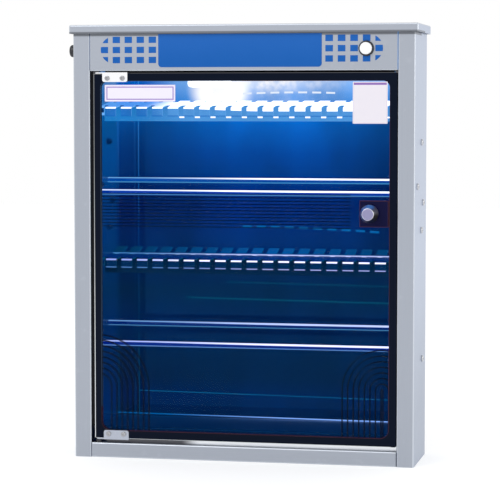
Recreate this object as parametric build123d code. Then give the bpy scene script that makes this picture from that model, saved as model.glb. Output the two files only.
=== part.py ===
"""UV toothbrush sterilizer: a stainless wall cabinet with a glass door, two comb racks and a lamp."""
from build123d import *
import os

# Frame: +Z up, the door faces -Y, origin at the middle of the underside. Sizes in millimetres.

# Cabinet
WIDTH = 400.0
DEPTH = 104.0
BODY_TOP = 503.5
SHEET = 1.0
BEND = 1.5
STILE = 20.0
FRONT = -DEPTH / 2
BACK = DEPTH / 2
SIDE = WIDTH / 2
OPENING = SIDE - STILE
JAMB_DEPTH = 11.0
REAR_FLANGE = 14.0
SEAM = 0.4

# Lid
LID_LIP = 10.0
LID_OVERHANG = 4.0
LID_REAR = 1.5

# Header and rails
HEADER_BOTTOM = 451.0
RAIL_TOP = 17.5
RETURN_DEPTH = 13.0

# Inner walls
LINER_X = 176.0
STOP_Y = FRONT + 9.0
FLOOR_TOP = 36.0
CEILING_BOTTOM = HEADER_BOTTOM - SHEET
STOP_DROP = 6.0
RELIEF_X = -164.0
RELIEF_Y = -40.0
BACK_INNER = BACK - SHEET

# Door
GLASS = 5.0
GLASS_LEFT = -176.0
GLASS_RIGHT = 179.5
GLASS_BOTTOM = 22.5
GLASS_TOP = 448.5
GLASS_FRONT = FRONT + 1.0
GLASS_BACK = GLASS_FRONT + GLASS
DOOR_MIDDLE_Z = (GLASS_BOTTOM + GLASS_TOP) / 2

# Hinges
PIVOT_X = -172.0
PIVOT_Y = FRONT + 4.5
PIN_R = 1.5
PIN_PLAY = 0.06
CLIP_LEFT = -165.0
CLIP_LENGTH = 30.0
CLIP_HEIGHT = 11.0
CLIP_WALL = 1.2
CLIP_SCREW_INSET = 6.0
CLIP_SCREW_Z = GLASS_BOTTOM + 5.5
CLIP_SCREW_HEAD_R = 3.0
CLIP_SCREW_HEAD_H = 1.8
TONGUE = 3.2
BUSH_R = 2.4
BUSH_FLANGE_R = 3.6
BUSH_DEPTH = 4.0

# Knob and catch
KNOB_X = 149.0
KNOB_Z = 289.0
KNOB_FOOT_R = 7.5
KNOB_WAIST_R = 6.0
KNOB_BASE_R = 10.4
KNOB_FACE_R = 6.8
KNOB_LENGTH = 20.0
KNOB_SCREW_R = 2.0
STRIKE_LEFT = 137.0
STRIKE_RIGHT = 169.5
STRIKE_BOTTOM = 274.0
STRIKE_TOP = 303.5
STRIKE_THICK = 1.2
CATCH_LEFT = 156.0
CATCH_DEPTH = 14.0
MAGNET_DEPTH = 9.0
BUFFER_Z = (120.0, 322.5)

# Hangers, racks and rods
HANGER_FRONT = FRONT + 10.0
HANGER_BACK = 33.0
HANGER_BOTTOM = 104.0
HANGER_TOP = 418.0
RACKS = {"upper": (409.0, 7.5), "lower": (232.3, 2.0)}
RACK_FRONT = FRONT + 14.0
RACK_DEPTH = 62.0
RACK_LIP = 10.0
RACK_HALF = LINER_X - SHEET * 1.5
SLOTS = 19
SLOT_PITCH = 18.7
SLOT_WIDTH = 6.2
FRONT_SLOT = 17.0
REAR_SLOT = 15.0
BAR_OFFSET = 26.0
BAR_LEG = 18.0
BAR_TOP = 10.0
ROD_R = 3.2
RODS = {
    "upper_front_rod": (-28.0, 310.2),
    "upper_rear_rod": (6.0, 323.4),
    "lower_front_rod": (-28.0, 132.3),
    "lower_rear_rod": (6.0, 152.8),
}

# Screws through the side walls, as depth and height
SIDE_BOLTS = [(1.6, 369.3), (-34.0, 319.5), (15.6, 299.5), (1.6, 268.0), (14.7, 117.7)]
BOLT_R = 2.0
BOLT_HEAD_R = 3.8
BOLT_HEAD_H = 2.4

# Lamp
LAMP_X = -48.0
LAMP_Y = -6.0
LAMP_LENGTH = 48.0
LAMP_WIDTH = 34.0
FINS = 6
SINK_HEIGHT = 8.0
BOARD = 1.6
EMITTER = 4.0
EMITTER_PITCH = 9.0
COVER_DEPTH = 9.0
COVER_WALL = 2.0

# Push switch
SWITCH_X = 144.0
SWITCH_Z = 476.0
SWITCH_R = 7.8
SWITCH_DEPTH = 22.0
BEZEL_R = 8.8
BEZEL = 2.2
BUTTON_R = 6.9
BUTTON_PROUD = 6.0
BUTTON_LENGTH = 12.0
SWITCH_NUT_R = 11.0
TAB = (6.3, 0.8, 8.0)

# Fuse holder on the left side
FUSE_Y = FRONT + 20.0
FUSE_Z = 475.0
FUSE_R = 6.2
FUSE_DEPTH = 17.0
FUSE_CAP_R = 8.0
FUSE_CAP_LENGTH = 9.0

# Back panel
KEYHOLE_X = 125.0
KEYHOLE_Z = 470.0
KEYHOLE_R = 5.0
KEYHOLE_SLOT = 4.6
KEYHOLE_RISE = 9.0
INLET_X = 60.0
INLET_Z = 473.0
INLET_FLANGE_W = 33.0
INLET_FLANGE_H = 18.0
INLET_DEPTH = 16.0
INLET_PIN_PITCH = 8.6

# Blue plate on the header
PLATE_LEFT = -98.0
PLATE_RIGHT = 93.0
PLATE_BOTTOM = 455.5
PLATE_TOP = 493.5

parts = {}


def disc(x, y, z, radius, length, axis):
    """A solid cylinder that starts at a point and runs along one axis."""
    lean = {"x": (0, 90, 0), "y": (-90, 0, 0), "z": (0, 0, 0)}[axis]
    base = Align.CENTER, Align.CENTER, Align.MIN
    return Location((x, y, z), lean) * Cylinder(radius, length, align=base)


def block(x, y, z):
    """A box given by its two ends on each axis."""
    corner = Align.MIN, Align.MIN, Align.MIN
    return Pos(x[0], y[0], z[0]) * Box(x[1] - x[0], y[1] - y[0], z[1] - z[0], align=corner)


def folded(plane, points, length, bend=BEND):
    """A strip of sheet folded along a line of points and drawn out square to the plane."""
    line = FilletPolyline(*points, radius=bend)
    return plane * extrude(trace(line, SHEET), length)


def save(name, shape):
    shape.label = name
    parts[name] = shape


def side_panel():
    """The left outer wall, with its stile, door jamb and rear flange from one sheet."""
    half = SHEET / 2
    points = [
        (-OPENING - half, FRONT + JAMB_DEPTH),
        (-OPENING - half, FRONT + half),
        (-SIDE + half, FRONT + half),
        (-SIDE + half, BACK_INNER - half),
        (-SIDE + REAR_FLANGE, BACK_INNER - half),
    ]
    panel = folded(Plane.XY, points, BODY_TOP)
    for y, z in SIDE_BOLTS:
        panel -= disc(-SIDE - 1, y, z, BOLT_R, 4, "x")
    return panel


def add_side_panels():
    left = side_panel()
    save("right_side_panel", mirror(left, Plane.YZ))
    save("left_side_panel", left - disc(-SIDE - 1, FUSE_Y, FUSE_Z, FUSE_R, 4, "x"))


def add_lid():
    """The top cap, a pan of sheet turned down on all four sides."""
    y = FRONT - LID_OVERHANG, BACK + LID_REAR
    x = -SIDE - LID_OVERHANG, SIDE + LID_OVERHANG
    top = BODY_TOP + SHEET
    cap = block(x, y, (top - LID_LIP, top))
    cap = fillet(cap.edges().filter_by(Axis.Z), 2.5)
    cap = fillet(cap.edges().group_by(Axis.Z)[-1], 2.0)
    inner_x = x[0] + SHEET, x[1] - SHEET
    inner_y = y[0] + SHEET, y[1] - SHEET
    hollow = block(inner_x, inner_y, (top - LID_LIP - 1, BODY_TOP))
    hollow = fillet(hollow.edges().filter_by(Axis.Z), 1.5)
    save("top_lid", cap - hollow)


def add_header():
    """The fascia above the door, turned back at its top and bottom."""
    half = SHEET / 2
    points = [
        (FRONT + RETURN_DEPTH, HEADER_BOTTOM + half),
        (FRONT + half, HEADER_BOTTOM + half),
        (FRONT + half, BODY_TOP - half),
        (FRONT + RETURN_DEPTH, BODY_TOP - half),
    ]
    length = 2 * (OPENING - SEAM)
    header = folded(Plane.YZ.offset(-length / 2), points, length)
    header -= disc(SWITCH_X, FRONT - 1, SWITCH_Z, SWITCH_R, 4, "y")
    header -= disc(PIVOT_X, PIVOT_Y, HEADER_BOTTOM - 1, BUSH_R, 4, "z")
    save("header_panel", header)


def add_bottom_rail():
    half = SHEET / 2
    points = [
        (FRONT + RETURN_DEPTH, half),
        (FRONT + half, half),
        (FRONT + half, RAIL_TOP - half),
        (FRONT + RETURN_DEPTH, RAIL_TOP - half),
    ]
    length = 2 * (OPENING - SEAM)
    rail = folded(Plane.YZ.offset(-length / 2), points, length)
    rail -= disc(PIVOT_X, PIVOT_Y, RAIL_TOP - 2, BUSH_R, 4, "z")
    save("bottom_rail", rail)


def add_base_panel():
    """The underside, a shallow tray between the side walls."""
    half = SHEET / 2
    reach = SIDE - SHEET
    rise = 9.0
    points = [(-reach + half, rise), (-reach + half, half), (reach - half, half), (reach - half, rise)]
    rear = BACK_INNER - SHEET - BEND
    length = rear - FRONT - RETURN_DEPTH
    base = folded(Plane.XZ.offset(-rear), points, length)
    save("base_panel", base)


def keyhole(x):
    """One hanging hole: a round entry with a slot above it."""
    half = KEYHOLE_SLOT / 2
    entry = disc(x, BACK_INNER - 1, KEYHOLE_Z, KEYHOLE_R, 3, "y")
    slot = block((x - half, x + half), (BACK_INNER - 1, BACK + 1), (KEYHOLE_Z, KEYHOLE_Z + KEYHOLE_RISE))
    tip = disc(x, BACK_INNER - 1, KEYHOLE_Z + KEYHOLE_RISE, half, 3, "y")
    return entry + slot + tip


def back_screw_places():
    flange_x = SIDE - REAR_FLANGE + 5.0
    heights = (30.0, 180.0, 330.0, 480.0)
    return [(side * flange_x, z) for side in (-1, 1) for z in heights]


def add_back_panel():
    reach = SIDE - SHEET - 0.2
    panel = block((-reach, reach), (BACK_INNER, BACK), (SHEET, BODY_TOP))
    for x in (-KEYHOLE_X, KEYHOLE_X):
        panel -= keyhole(x)
    panel -= inlet_outline(INLET_FLANGE_W - 6, INLET_FLANGE_H - 4, BACK - 3, 6)
    for x, z in back_screw_places():
        panel -= disc(x, BACK - 3, z, 1.6, 5, "y")
    save("back_panel", panel)


def inlet_outline(width, height, y, length):
    """A block with round ends, set on the back panel's inlet place."""
    shape = extrude(SlotOverall(width, height), length)
    return Location((INLET_X, y, INLET_Z), (-90, 0, 0)) * shape


def add_power_inlet():
    """A two-pin mains inlet: a flange outside, a socket with two pins and a body inside."""
    flange = inlet_outline(INLET_FLANGE_W, INLET_FLANGE_H, BACK, 2)
    body = inlet_outline(INLET_FLANGE_W - 6.4, INLET_FLANGE_H - 4.4, BACK - INLET_DEPTH, INLET_DEPTH + 1)
    inlet = flange + body - inlet_outline(18.0, 9.6, BACK - INLET_DEPTH + 4, 20)
    for side in (-1, 1):
        x = INLET_X + side * INLET_PIN_PITCH / 2
        inlet += disc(x, BACK - INLET_DEPTH + 4, INLET_Z, 1.2, 10, "y")
        inlet += tab(x, BACK - INLET_DEPTH - TAB[2] / 2, INLET_Z)
    save("power_inlet", inlet)


def tab(x, y, z):
    """A flat blade for a push-on lead, standing along Y."""
    return Pos(x, y, z) * Box(TAB[1], TAB[2] + 1, TAB[0])


def add_liners():
    """The inner side walls. Their front edges stop the door, their rear ones lie on the flanges."""
    rear = BACK_INNER - SHEET * 1.5
    points = [
        (-OPENING, STOP_Y),
        (-LINER_X, STOP_Y),
        (-LINER_X, rear),
        (-SIDE + 8.0, rear),
    ]
    height = HEADER_BOTTOM - FLOOR_TOP
    liner = folded(Plane.XY.offset(FLOOR_TOP), points, height)
    for y, z in SIDE_BOLTS:
        liner -= disc(-SIDE, y, z, BOLT_R, 40, "x")
    save("left_liner", liner)
    save("right_liner", mirror(liner, Plane.YZ))


def add_inner_floor():
    """The floor of the brush space, folded down in front to stop the door."""
    height = FLOOR_TOP - SHEET / 2
    points = [(STOP_Y, RAIL_TOP), (STOP_Y, height), (BACK_INNER, height)]
    floor = folded(Plane.YZ.offset(-OPENING), points, 2 * OPENING)
    save("inner_floor", floor - door_relief(RAIL_TOP - 1, FLOOR_TOP + 1))


def door_relief(bottom, top):
    """The corner that is cut away beside the pivot, where the glass swings inwards."""
    return block((-OPENING - 1, RELIEF_X), (STOP_Y - 2, RELIEF_Y), (bottom, top))


def add_inner_ceiling():
    """The ceiling of the brush space, folded down in front to stop the door."""
    reach = LINER_X - SHEET / 2
    height = CEILING_BOTTOM + SHEET / 2
    points = [(STOP_Y, CEILING_BOTTOM - STOP_DROP), (STOP_Y, height), (BACK_INNER, height)]
    ceiling = folded(Plane.YZ.offset(-reach), points, 2 * reach)
    save("inner_ceiling", ceiling - door_relief(CEILING_BOTTOM - STOP_DROP - 1, CEILING_BOTTOM + SHEET + 1))


def add_door_glass():
    pane = block((GLASS_LEFT, GLASS_RIGHT), (GLASS_FRONT, GLASS_BACK), (GLASS_BOTTOM, GLASS_TOP))
    pane = fillet(pane.edges().filter_by(Axis.Y), 1.5)
    pane = chamfer(pane.faces().filter_by(Axis.Y).edges(), 0.4)
    pane -= disc(KNOB_X, GLASS_FRONT - 1, KNOB_Z, 2.4, GLASS + 2, "y")
    save("door_glass", pane)


def hinge_clip():
    """The lower clip: a channel that grips the glass, and a tongue that holds the pin."""
    x = CLIP_LEFT, CLIP_LEFT + CLIP_LENGTH
    low = GLASS_BOTTOM - CLIP_WALL
    y = GLASS_FRONT - CLIP_WALL, GLASS_BACK + CLIP_WALL
    clip = block(x, y, (low, low + CLIP_HEIGHT))
    clip = fillet(clip.edges().filter_by(Axis.Y).group_by(Axis.Z)[-1], 2.5)
    clip -= block((x[0] - 1, x[1] + 1), (GLASS_FRONT, GLASS_BACK), (GLASS_BOTTOM, low + CLIP_HEIGHT + 1))
    clip += block((PIVOT_X, x[0] + 1), (PIVOT_Y - TONGUE, PIVOT_Y + TONGUE), (low, GLASS_BOTTOM))
    clip += disc(PIVOT_X, PIVOT_Y, low, TONGUE, CLIP_WALL, "z")
    clip -= disc(PIVOT_X, PIVOT_Y, low - 1, PIN_R, 4, "z")
    for screw_x in clip_screw_places():
        clip -= disc(screw_x, y[0] - 1, CLIP_SCREW_Z, 1.5, CLIP_WALL + 1, "y")
    return clip


def clip_screw_places():
    return (CLIP_LEFT + CLIP_SCREW_INSET, CLIP_LEFT + CLIP_LENGTH - CLIP_SCREW_INSET)


def flip(shape):
    """The same piece at the other end of the door."""
    return mirror(shape, Plane.XY.offset(DOOR_MIDDLE_Z))


def clip_screw(x):
    """A pan screw with a cross recess, whose end just meets the glass."""
    wall = GLASS_FRONT - CLIP_WALL
    front = wall - CLIP_SCREW_HEAD_H
    head = disc(x, front, CLIP_SCREW_Z, CLIP_SCREW_HEAD_R, CLIP_SCREW_HEAD_H, "y")
    head = fillet(head.edges().group_by(Axis.Y)[0], 0.9)
    screw = head + disc(x, wall, CLIP_SCREW_Z, 1.5, CLIP_WALL, "y")
    for size in ((3.4, 0.8), (0.8, 3.4)):
        screw -= Pos(x, front, CLIP_SCREW_Z) * Box(size[0], 2.0, size[1])
    return screw


def add_hinges():
    clip = hinge_clip()
    save("lower_hinge_clip", clip)
    save("upper_hinge_clip", flip(clip))
    screws = [clip_screw(x) for x in clip_screw_places()]
    save("hinge_screws", Compound(children=screws + [flip(s) for s in screws]))
    low = RAIL_TOP - BUSH_DEPTH + 0.5
    save("lower_hinge_pin", disc(PIVOT_X, PIVOT_Y, low, PIN_R, GLASS_BOTTOM - low, "z"))
    high = HEADER_BOTTOM + BUSH_DEPTH - 0.5
    save("upper_hinge_pin", disc(PIVOT_X, PIVOT_Y, GLASS_TOP, PIN_R, high - GLASS_TOP, "z"))


def bush(barrel_z, flange_z, flange_height):
    """A plastic bush: a barrel through the sheet, a flange that the clip runs on, and a bore."""
    shape = disc(PIVOT_X, PIVOT_Y, barrel_z, BUSH_R, BUSH_DEPTH, "z")
    shape += disc(PIVOT_X, PIVOT_Y, flange_z, BUSH_FLANGE_R, flange_height, "z")
    return shape - disc(PIVOT_X, PIVOT_Y, flange_z - 20, PIN_R + PIN_PLAY, 40, "z")


def add_hinge_bushes():
    """The lower flange carries the door. The upper one leaves it a little play."""
    lower_flange = GLASS_BOTTOM - CLIP_WALL - 0.15 - RAIL_TOP
    save("lower_hinge_bush", bush(RAIL_TOP - BUSH_DEPTH, RAIL_TOP, lower_flange))
    save("upper_hinge_bush", bush(HEADER_BOTTOM, HEADER_BOTTOM - 0.8, 0.8))


def add_knob():
    """The door knob: a cone with a waist behind it, a flat face and soft edges."""
    start = GLASS_FRONT
    tip = start - KNOB_LENGTH
    with BuildPart() as knob:
        with BuildSketch(Plane.XY):
            with BuildLine():
                Polyline(
                    (0, start), (KNOB_FOOT_R, start), (KNOB_FOOT_R, start - 2.0), (KNOB_WAIST_R, start - 3.5),
                    (KNOB_BASE_R, start - 6.0), (KNOB_BASE_R, start - 8.5), (KNOB_FACE_R, tip), (0, tip),
                    (0, start),
                )
            make_face()
        revolve(axis=Axis.Y)
    shape = knob.part
    shape = fillet(shape.edges().group_by(Axis.Y)[0], 0.8)
    shape = Pos(KNOB_X, 0, KNOB_Z) * shape
    shape -= disc(KNOB_X, start - 9, KNOB_Z, KNOB_SCREW_R, 10, "y")
    save("door_knob", shape)
    head = disc(KNOB_X, GLASS_BACK + STRIKE_THICK, KNOB_Z, 3.8, 2.0, "y")
    head = fillet(head.edges().group_by(Axis.Y)[-1], 1.0)
    shank = disc(KNOB_X, start - 8, KNOB_Z, KNOB_SCREW_R, GLASS + 8 + STRIKE_THICK, "y")
    save("knob_screw", head + shank)


def add_catch():
    """The steel strike plate on the glass and the magnet catch that holds it."""
    y = GLASS_BACK, GLASS_BACK + STRIKE_THICK
    plate = block((STRIKE_LEFT, STRIKE_RIGHT), y, (STRIKE_BOTTOM, STRIKE_TOP))
    plate = fillet(plate.edges().filter_by(Axis.Y), 1.0)
    save("strike_plate", plate - disc(KNOB_X, GLASS_BACK - 1, KNOB_Z, KNOB_SCREW_R, 4, "y"))
    face = y[1] + 1.5
    catch = block((CATCH_LEFT, RACK_HALF), (face, face + CATCH_DEPTH), (STRIKE_BOTTOM + 2, STRIKE_TOP - 2))
    catch = fillet(catch.edges().filter_by(Axis.Z), 1.5)
    x = CATCH_LEFT + 2, CATCH_LEFT + 14
    z = STRIKE_BOTTOM + 5, STRIKE_TOP - 5
    save("magnet_catch", catch - block(x, (face - 1, face + MAGNET_DEPTH), z))
    save("catch_magnet", block(x, (face - 0.6, face + MAGNET_DEPTH), z))


def add_buffers():
    """Rubber pads on the right inner wall's front edge, where the glass lands."""
    pads = []
    x = LINER_X + 0.2, OPENING - 0.6
    y = GLASS_BACK + 0.3, STOP_Y - SHEET / 2
    for z in BUFFER_Z:
        pad = block(x, y, (z - 5.5, z + 5.5))
        pads.append(fillet(pad.edges().filter_by(Axis.Y), 1.2))
    save("door_buffers", Compound(children=pads))


def hanger():
    """The left hanger: a flat plate on the inner wall that carries the racks and rods."""
    x = -LINER_X + SHEET / 2
    plate = block((x, x + SHEET), (HANGER_FRONT, HANGER_BACK), (HANGER_BOTTOM, HANGER_TOP))
    plate = fillet(plate.edges().filter_by(Axis.X), 5.0)
    for y, z in SIDE_BOLTS:
        plate -= disc(x - 1, y, z, BOLT_R, 4, "x")
    for y, z in RODS.values():
        plate -= disc(x - 1, y, z, ROD_R, 4, "x")
    for y, z in rack_screw_places():
        plate -= disc(x - 1, y, z, 1.5, 4, "x")
    return plate


def rack_screw_places():
    """Depth and height of the screws in each rack's end flanges."""
    return [(RACK_FRONT + step, z - 5.0 + rise * step / RACK_DEPTH)
            for z, rise in RACKS.values() for step in (16.0, 46.0)]


def add_hangers():
    left = hanger()
    save("left_hanger", left)
    save("right_hanger", mirror(left, Plane.YZ))


def slot_centres():
    return [SLOT_PITCH * (i - (SLOTS - 1) / 2) for i in range(SLOTS)]


def rack(z, rise):
    """A comb of sheet, open in front and behind, whose rear row stands higher."""
    rear = RACK_FRONT + RACK_DEPTH
    flange_rise = rise * 8 / RACK_DEPTH - 0.2
    points = [(RACK_FRONT, z - RACK_LIP), (RACK_FRONT, z), (rear, z + rise)]
    comb = folded(Plane.YZ.offset(-RACK_HALF), points, 2 * RACK_HALF, bend=1.2)
    for side in (-1, 1):
        ends = RACK_FRONT + 8, rear - 6
        flange = [(ends[0], z - 9), (ends[1], z - 9), (ends[1], z + rise - 1.0), (ends[0], z + flange_rise)]
        wall = Plane.YZ.offset(side * (RACK_HALF - SHEET / 2) - SHEET / 2) * Polygon(*flange, align=None)
        comb += extrude(wall, SHEET)
    half = SLOT_WIDTH / 2
    for x in slot_centres():
        front_end = RACK_FRONT + FRONT_SLOT - half
        back_end = rear - REAR_SLOT + half
        front = block((x - half, x + half), (RACK_FRONT - 2, front_end), (z - 30, z + 30))
        front += disc(x, front_end, z - 30, half, 60, "z")
        back = block((x - half, x + half), (back_end, rear + 2), (z - 30, z + 30))
        back += disc(x, back_end, z - 30, half, 60, "z")
        comb -= front + back
    for y, screw_z in rack_screw_places():
        comb -= disc(-RACK_HALF - 1, y, screw_z, 1.5, 2 * RACK_HALF + 2, "x")
    return comb


def add_racks():
    for name, (z, rise) in RACKS.items():
        save(f"{name}_rack", rack(z, rise))
        save(f"{name}_rack_bar", rack_bar(z, rise))
    x = LINER_X - SHEET / 2
    screws = []
    for y, z in rack_screw_places():
        screw = disc(-x, y, z, 1.5, 3, "x") + disc(-x + 2 * SHEET, y, z, 2.8, 1.5, "x")
        screws += [screw, mirror(screw, Plane.YZ)]
    save("rack_screws", Compound(children=screws))


def rack_bar(z, rise):
    """The angle under a rack's middle, which keeps the long comb straight."""
    y = RACK_FRONT + BAR_OFFSET
    slope = rise / RACK_DEPTH
    top = z + slope * BAR_OFFSET - SHEET * (1 + slope * slope) ** 0.5
    points = [(y, top - BAR_LEG), (y, top), (y + BAR_TOP, top + slope * BAR_TOP)]
    length = 2 * (RACK_HALF - SHEET)
    return folded(Plane.YZ.offset(-length / 2), points, length, bend=1.0)


def add_rods():
    """The round rods that the brush handles lean on. Their ends stand in the hangers."""
    reach = LINER_X - 0.5
    for name, (y, z) in RODS.items():
        save(name, disc(-reach, y, z, ROD_R, 2 * reach, "x"))


def side_bolt(y, z):
    """A pan-head bolt from outside through both walls and the hanger, on the left."""
    head = disc(-SIDE - BOLT_HEAD_H, y, z, BOLT_HEAD_R, BOLT_HEAD_H, "x")
    head = fillet(head.edges().group_by(Axis.X)[0], 1.5)
    shank = disc(-SIDE, y, z, BOLT_R, SIDE - LINER_X + 5.5, "x")
    bolt = head + shank
    for size in ((3.6, 0.9), (0.9, 3.6)):
        bolt -= Pos(-SIDE - BOLT_HEAD_H, y, z) * Box(2.2, size[0], size[1])
    return bolt


def acorn_nut(y, z):
    """A domed nut on the bolt's end, against the left hanger."""
    start = -LINER_X + 1.5 * SHEET
    hexagon = extrude(RegularPolygon(4.0, 6), 3.2)
    nut = Location((start, y, z), (0, 90, 0)) * hexagon
    dome = Pos(start + 3.2, y, z) * Sphere(3.4)
    dome &= block((start + 3.2, start + 8), (y - 5, y + 5), (z - 5, z + 5))
    return nut + dome - disc(start - 1, y, z, BOLT_R, 5.5, "x")


def add_side_fasteners():
    bolts = [side_bolt(y, z) for y, z in SIDE_BOLTS]
    nuts = [acorn_nut(y, z) for y, z in SIDE_BOLTS]
    save("side_bolts", Compound(children=bolts + [mirror(b, Plane.YZ) for b in bolts]))
    save("acorn_nuts", Compound(children=nuts + [mirror(n, Plane.YZ) for n in nuts]))


def add_back_screws():
    screws = []
    for x, z in back_screw_places():
        head = disc(x, BACK, z, 3.2, 1.8, "y")
        head = fillet(head.edges().group_by(Axis.Y)[-1], 1.0)
        screws.append(head + disc(x, BACK - SHEET, z, 1.6, SHEET, "y"))
    save("back_screws", Compound(children=screws))


def add_lamp():
    """The light source under the ceiling: a finned block, a board of emitters and a clear cover."""
    x = LAMP_X - LAMP_LENGTH / 2, LAMP_X + LAMP_LENGTH / 2
    y = LAMP_Y - LAMP_WIDTH / 2, LAMP_Y + LAMP_WIDTH / 2
    low = CEILING_BOTTOM - SINK_HEIGHT
    sink = block(x, y, (low, CEILING_BOTTOM))
    pitch = LAMP_LENGTH / FINS
    groove_z = low + 1.5, CEILING_BOTTOM + 1
    for i in range(1, FINS):
        groove_x = x[0] + i * pitch
        for edge in y:
            sink -= block((groove_x - 1.5, groove_x + 1.5), (edge - 3, edge + 3), groove_z)
    save("lamp_heat_sink", sink)
    save("lamp_board", block((x[0] + 4, x[1] - 4), (y[0] + 4, y[1] - 4), (low - BOARD, low)))
    emitters = []
    for i in range(4):
        for j in range(2):
            place = Pos(LAMP_X + (i - 1.5) * EMITTER_PITCH, LAMP_Y + (j - 0.5) * 11, low - BOARD - 0.6)
            emitters.append(place * Box(EMITTER, EMITTER, 1.2))
    save("lamp_emitters", Compound(children=emitters))
    cover = block((x[0] + 1, x[1] - 1), (y[0] + 1, y[1] - 1), (low - COVER_DEPTH, low))
    cover = fillet(cover.edges().filter_by(Axis.Z), 4.0)
    cover = fillet(cover.edges().group_by(Axis.Z)[0], 3.5)
    inset = 1 + COVER_WALL
    hollow_z = low - COVER_DEPTH + COVER_WALL, low + 1
    hollow = block((x[0] + inset, x[1] - inset), (y[0] + inset, y[1] - inset), hollow_z)
    save("lamp_cover", cover - hollow)


def add_driver():
    """The supply for the lamp, on top of the ceiling, and the terminal block beside it."""
    floor = CEILING_BOTTOM + SHEET
    case = block((-95.0, 5.0), (-16.0, 26.0), (floor, floor + 24))
    case = fillet(case.edges().filter_by(Axis.Z), 3.0)
    case = fillet(case.edges().group_by(Axis.Z)[-1], 1.5)
    for side in (-1, 1):
        foot = block((-45.0 + side * 50 - 7, -45.0 + side * 50 + 7), (-3.0, 13.0), (floor, floor + 2))
        foot -= disc(-45.0 + side * 53.5, 5.0, floor - 1, 1.8, 4, "z")
        case += foot
    save("lamp_driver", case)
    blocks = block((28.0, 58.0), (-6.0, 10.0), (floor, floor + 13))
    for i in range(3):
        blocks -= disc(33.0 + i * 10, 2.0, floor + 7, 2.4, 8, "z")
        blocks -= disc(33.0 + i * 10, -7.0, floor + 4.5, 1.8, 18, "y")
    save("terminal_block", blocks)


def add_switch():
    """The push switch: a body with a round bezel, its nut, and the button that travels in it."""
    bezel = disc(SWITCH_X, FRONT - BEZEL, SWITCH_Z, BEZEL_R, BEZEL, "y")
    bezel = fillet(bezel.edges().group_by(Axis.Y)[0], 0.8)
    barrel = disc(SWITCH_X, FRONT, SWITCH_Z, SWITCH_R - 0.05, SWITCH_DEPTH, "y")
    well = disc(SWITCH_X, FRONT - 3, SWITCH_Z, BUTTON_R + 0.15, 14, "y")
    body = bezel + barrel - well
    for side in (-1, 1):
        body += tab(SWITCH_X + side * 4.0, FRONT + SWITCH_DEPTH + TAB[2] / 2, SWITCH_Z)
    save("switch_body", body)
    nut = extrude(RegularPolygon(SWITCH_NUT_R, 6), 2.4)
    nut = Location((SWITCH_X, FRONT + SHEET, SWITCH_Z), (-90, 0, 0)) * nut
    save("switch_nut", nut - disc(SWITCH_X, FRONT, SWITCH_Z, SWITCH_R - 0.05, 8, "y"))
    button = disc(SWITCH_X, FRONT - BUTTON_PROUD, SWITCH_Z, BUTTON_R, BUTTON_LENGTH, "y")
    button = fillet(button.edges().group_by(Axis.Y)[0], 1.2)
    save("power_button", button)


def add_fuse_holder():
    """A fuse holder in the left wall, with a ribbed cap outside, and a nut and two tabs inside."""
    holder = disc(-SIDE, FUSE_Y, FUSE_Z, FUSE_R - 0.05, FUSE_DEPTH, "x")
    holder += disc(-SIDE - 1.5, FUSE_Y, FUSE_Z, FUSE_CAP_R, 1.5, "x")
    for side in (-1, 1):
        place = Pos(-SIDE + FUSE_DEPTH + TAB[2] / 2 - 0.5, FUSE_Y, FUSE_Z + side * 3.4)
        holder += place * Box(TAB[2] + 1, TAB[0], TAB[1])
    save("fuse_holder", holder)
    cap = disc(-SIDE - FUSE_CAP_LENGTH, FUSE_Y, FUSE_Z, FUSE_CAP_R - 0.8, FUSE_CAP_LENGTH - 1.5, "x")
    cap = fillet(cap.edges().group_by(Axis.X)[0], 3.0)
    for place in PolarLocations(FUSE_CAP_R - 0.4, 12):
        y, z = place.position.X, place.position.Y
        cap -= disc(-SIDE - FUSE_CAP_LENGTH - 1, FUSE_Y + y, FUSE_Z + z, 0.7, FUSE_CAP_LENGTH - 1, "x")
    save("fuse_cap", cap)
    nut = extrude(RegularPolygon(8.6, 6), 2.4)
    nut = Location((-SIDE + SHEET, FUSE_Y, FUSE_Z), (0, 90, 0)) * nut
    save("fuse_nut", nut - disc(-SIDE, FUSE_Y, FUSE_Z, FUSE_R - 0.05, 8, "x"))


def add_header_plate():
    """The blue plate on the fascia, square at the top and round at its lower corners."""
    plate = block((PLATE_LEFT, PLATE_RIGHT), (FRONT - 0.4, FRONT), (PLATE_BOTTOM, PLATE_TOP))
    save("header_plate", fillet(plate.edges().filter_by(Axis.Y).group_by(Axis.Z)[0], 4.0))


def build():
    add_side_panels()
    add_lid()
    add_header()
    add_bottom_rail()
    add_base_panel()
    add_back_panel()
    add_power_inlet()
    add_liners()
    add_inner_floor()
    add_inner_ceiling()
    add_door_glass()
    add_hinges()
    add_hinge_bushes()
    add_knob()
    add_catch()
    add_buffers()
    add_hangers()
    add_racks()
    add_rods()
    add_side_fasteners()
    add_back_screws()
    add_lamp()
    add_driver()
    add_switch()
    add_fuse_holder()
    add_header_plate()


build()
os.makedirs("parts", exist_ok=True)
for node, shape in parts.items():
    export_step(shape, f"parts/{node}.step")
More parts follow.
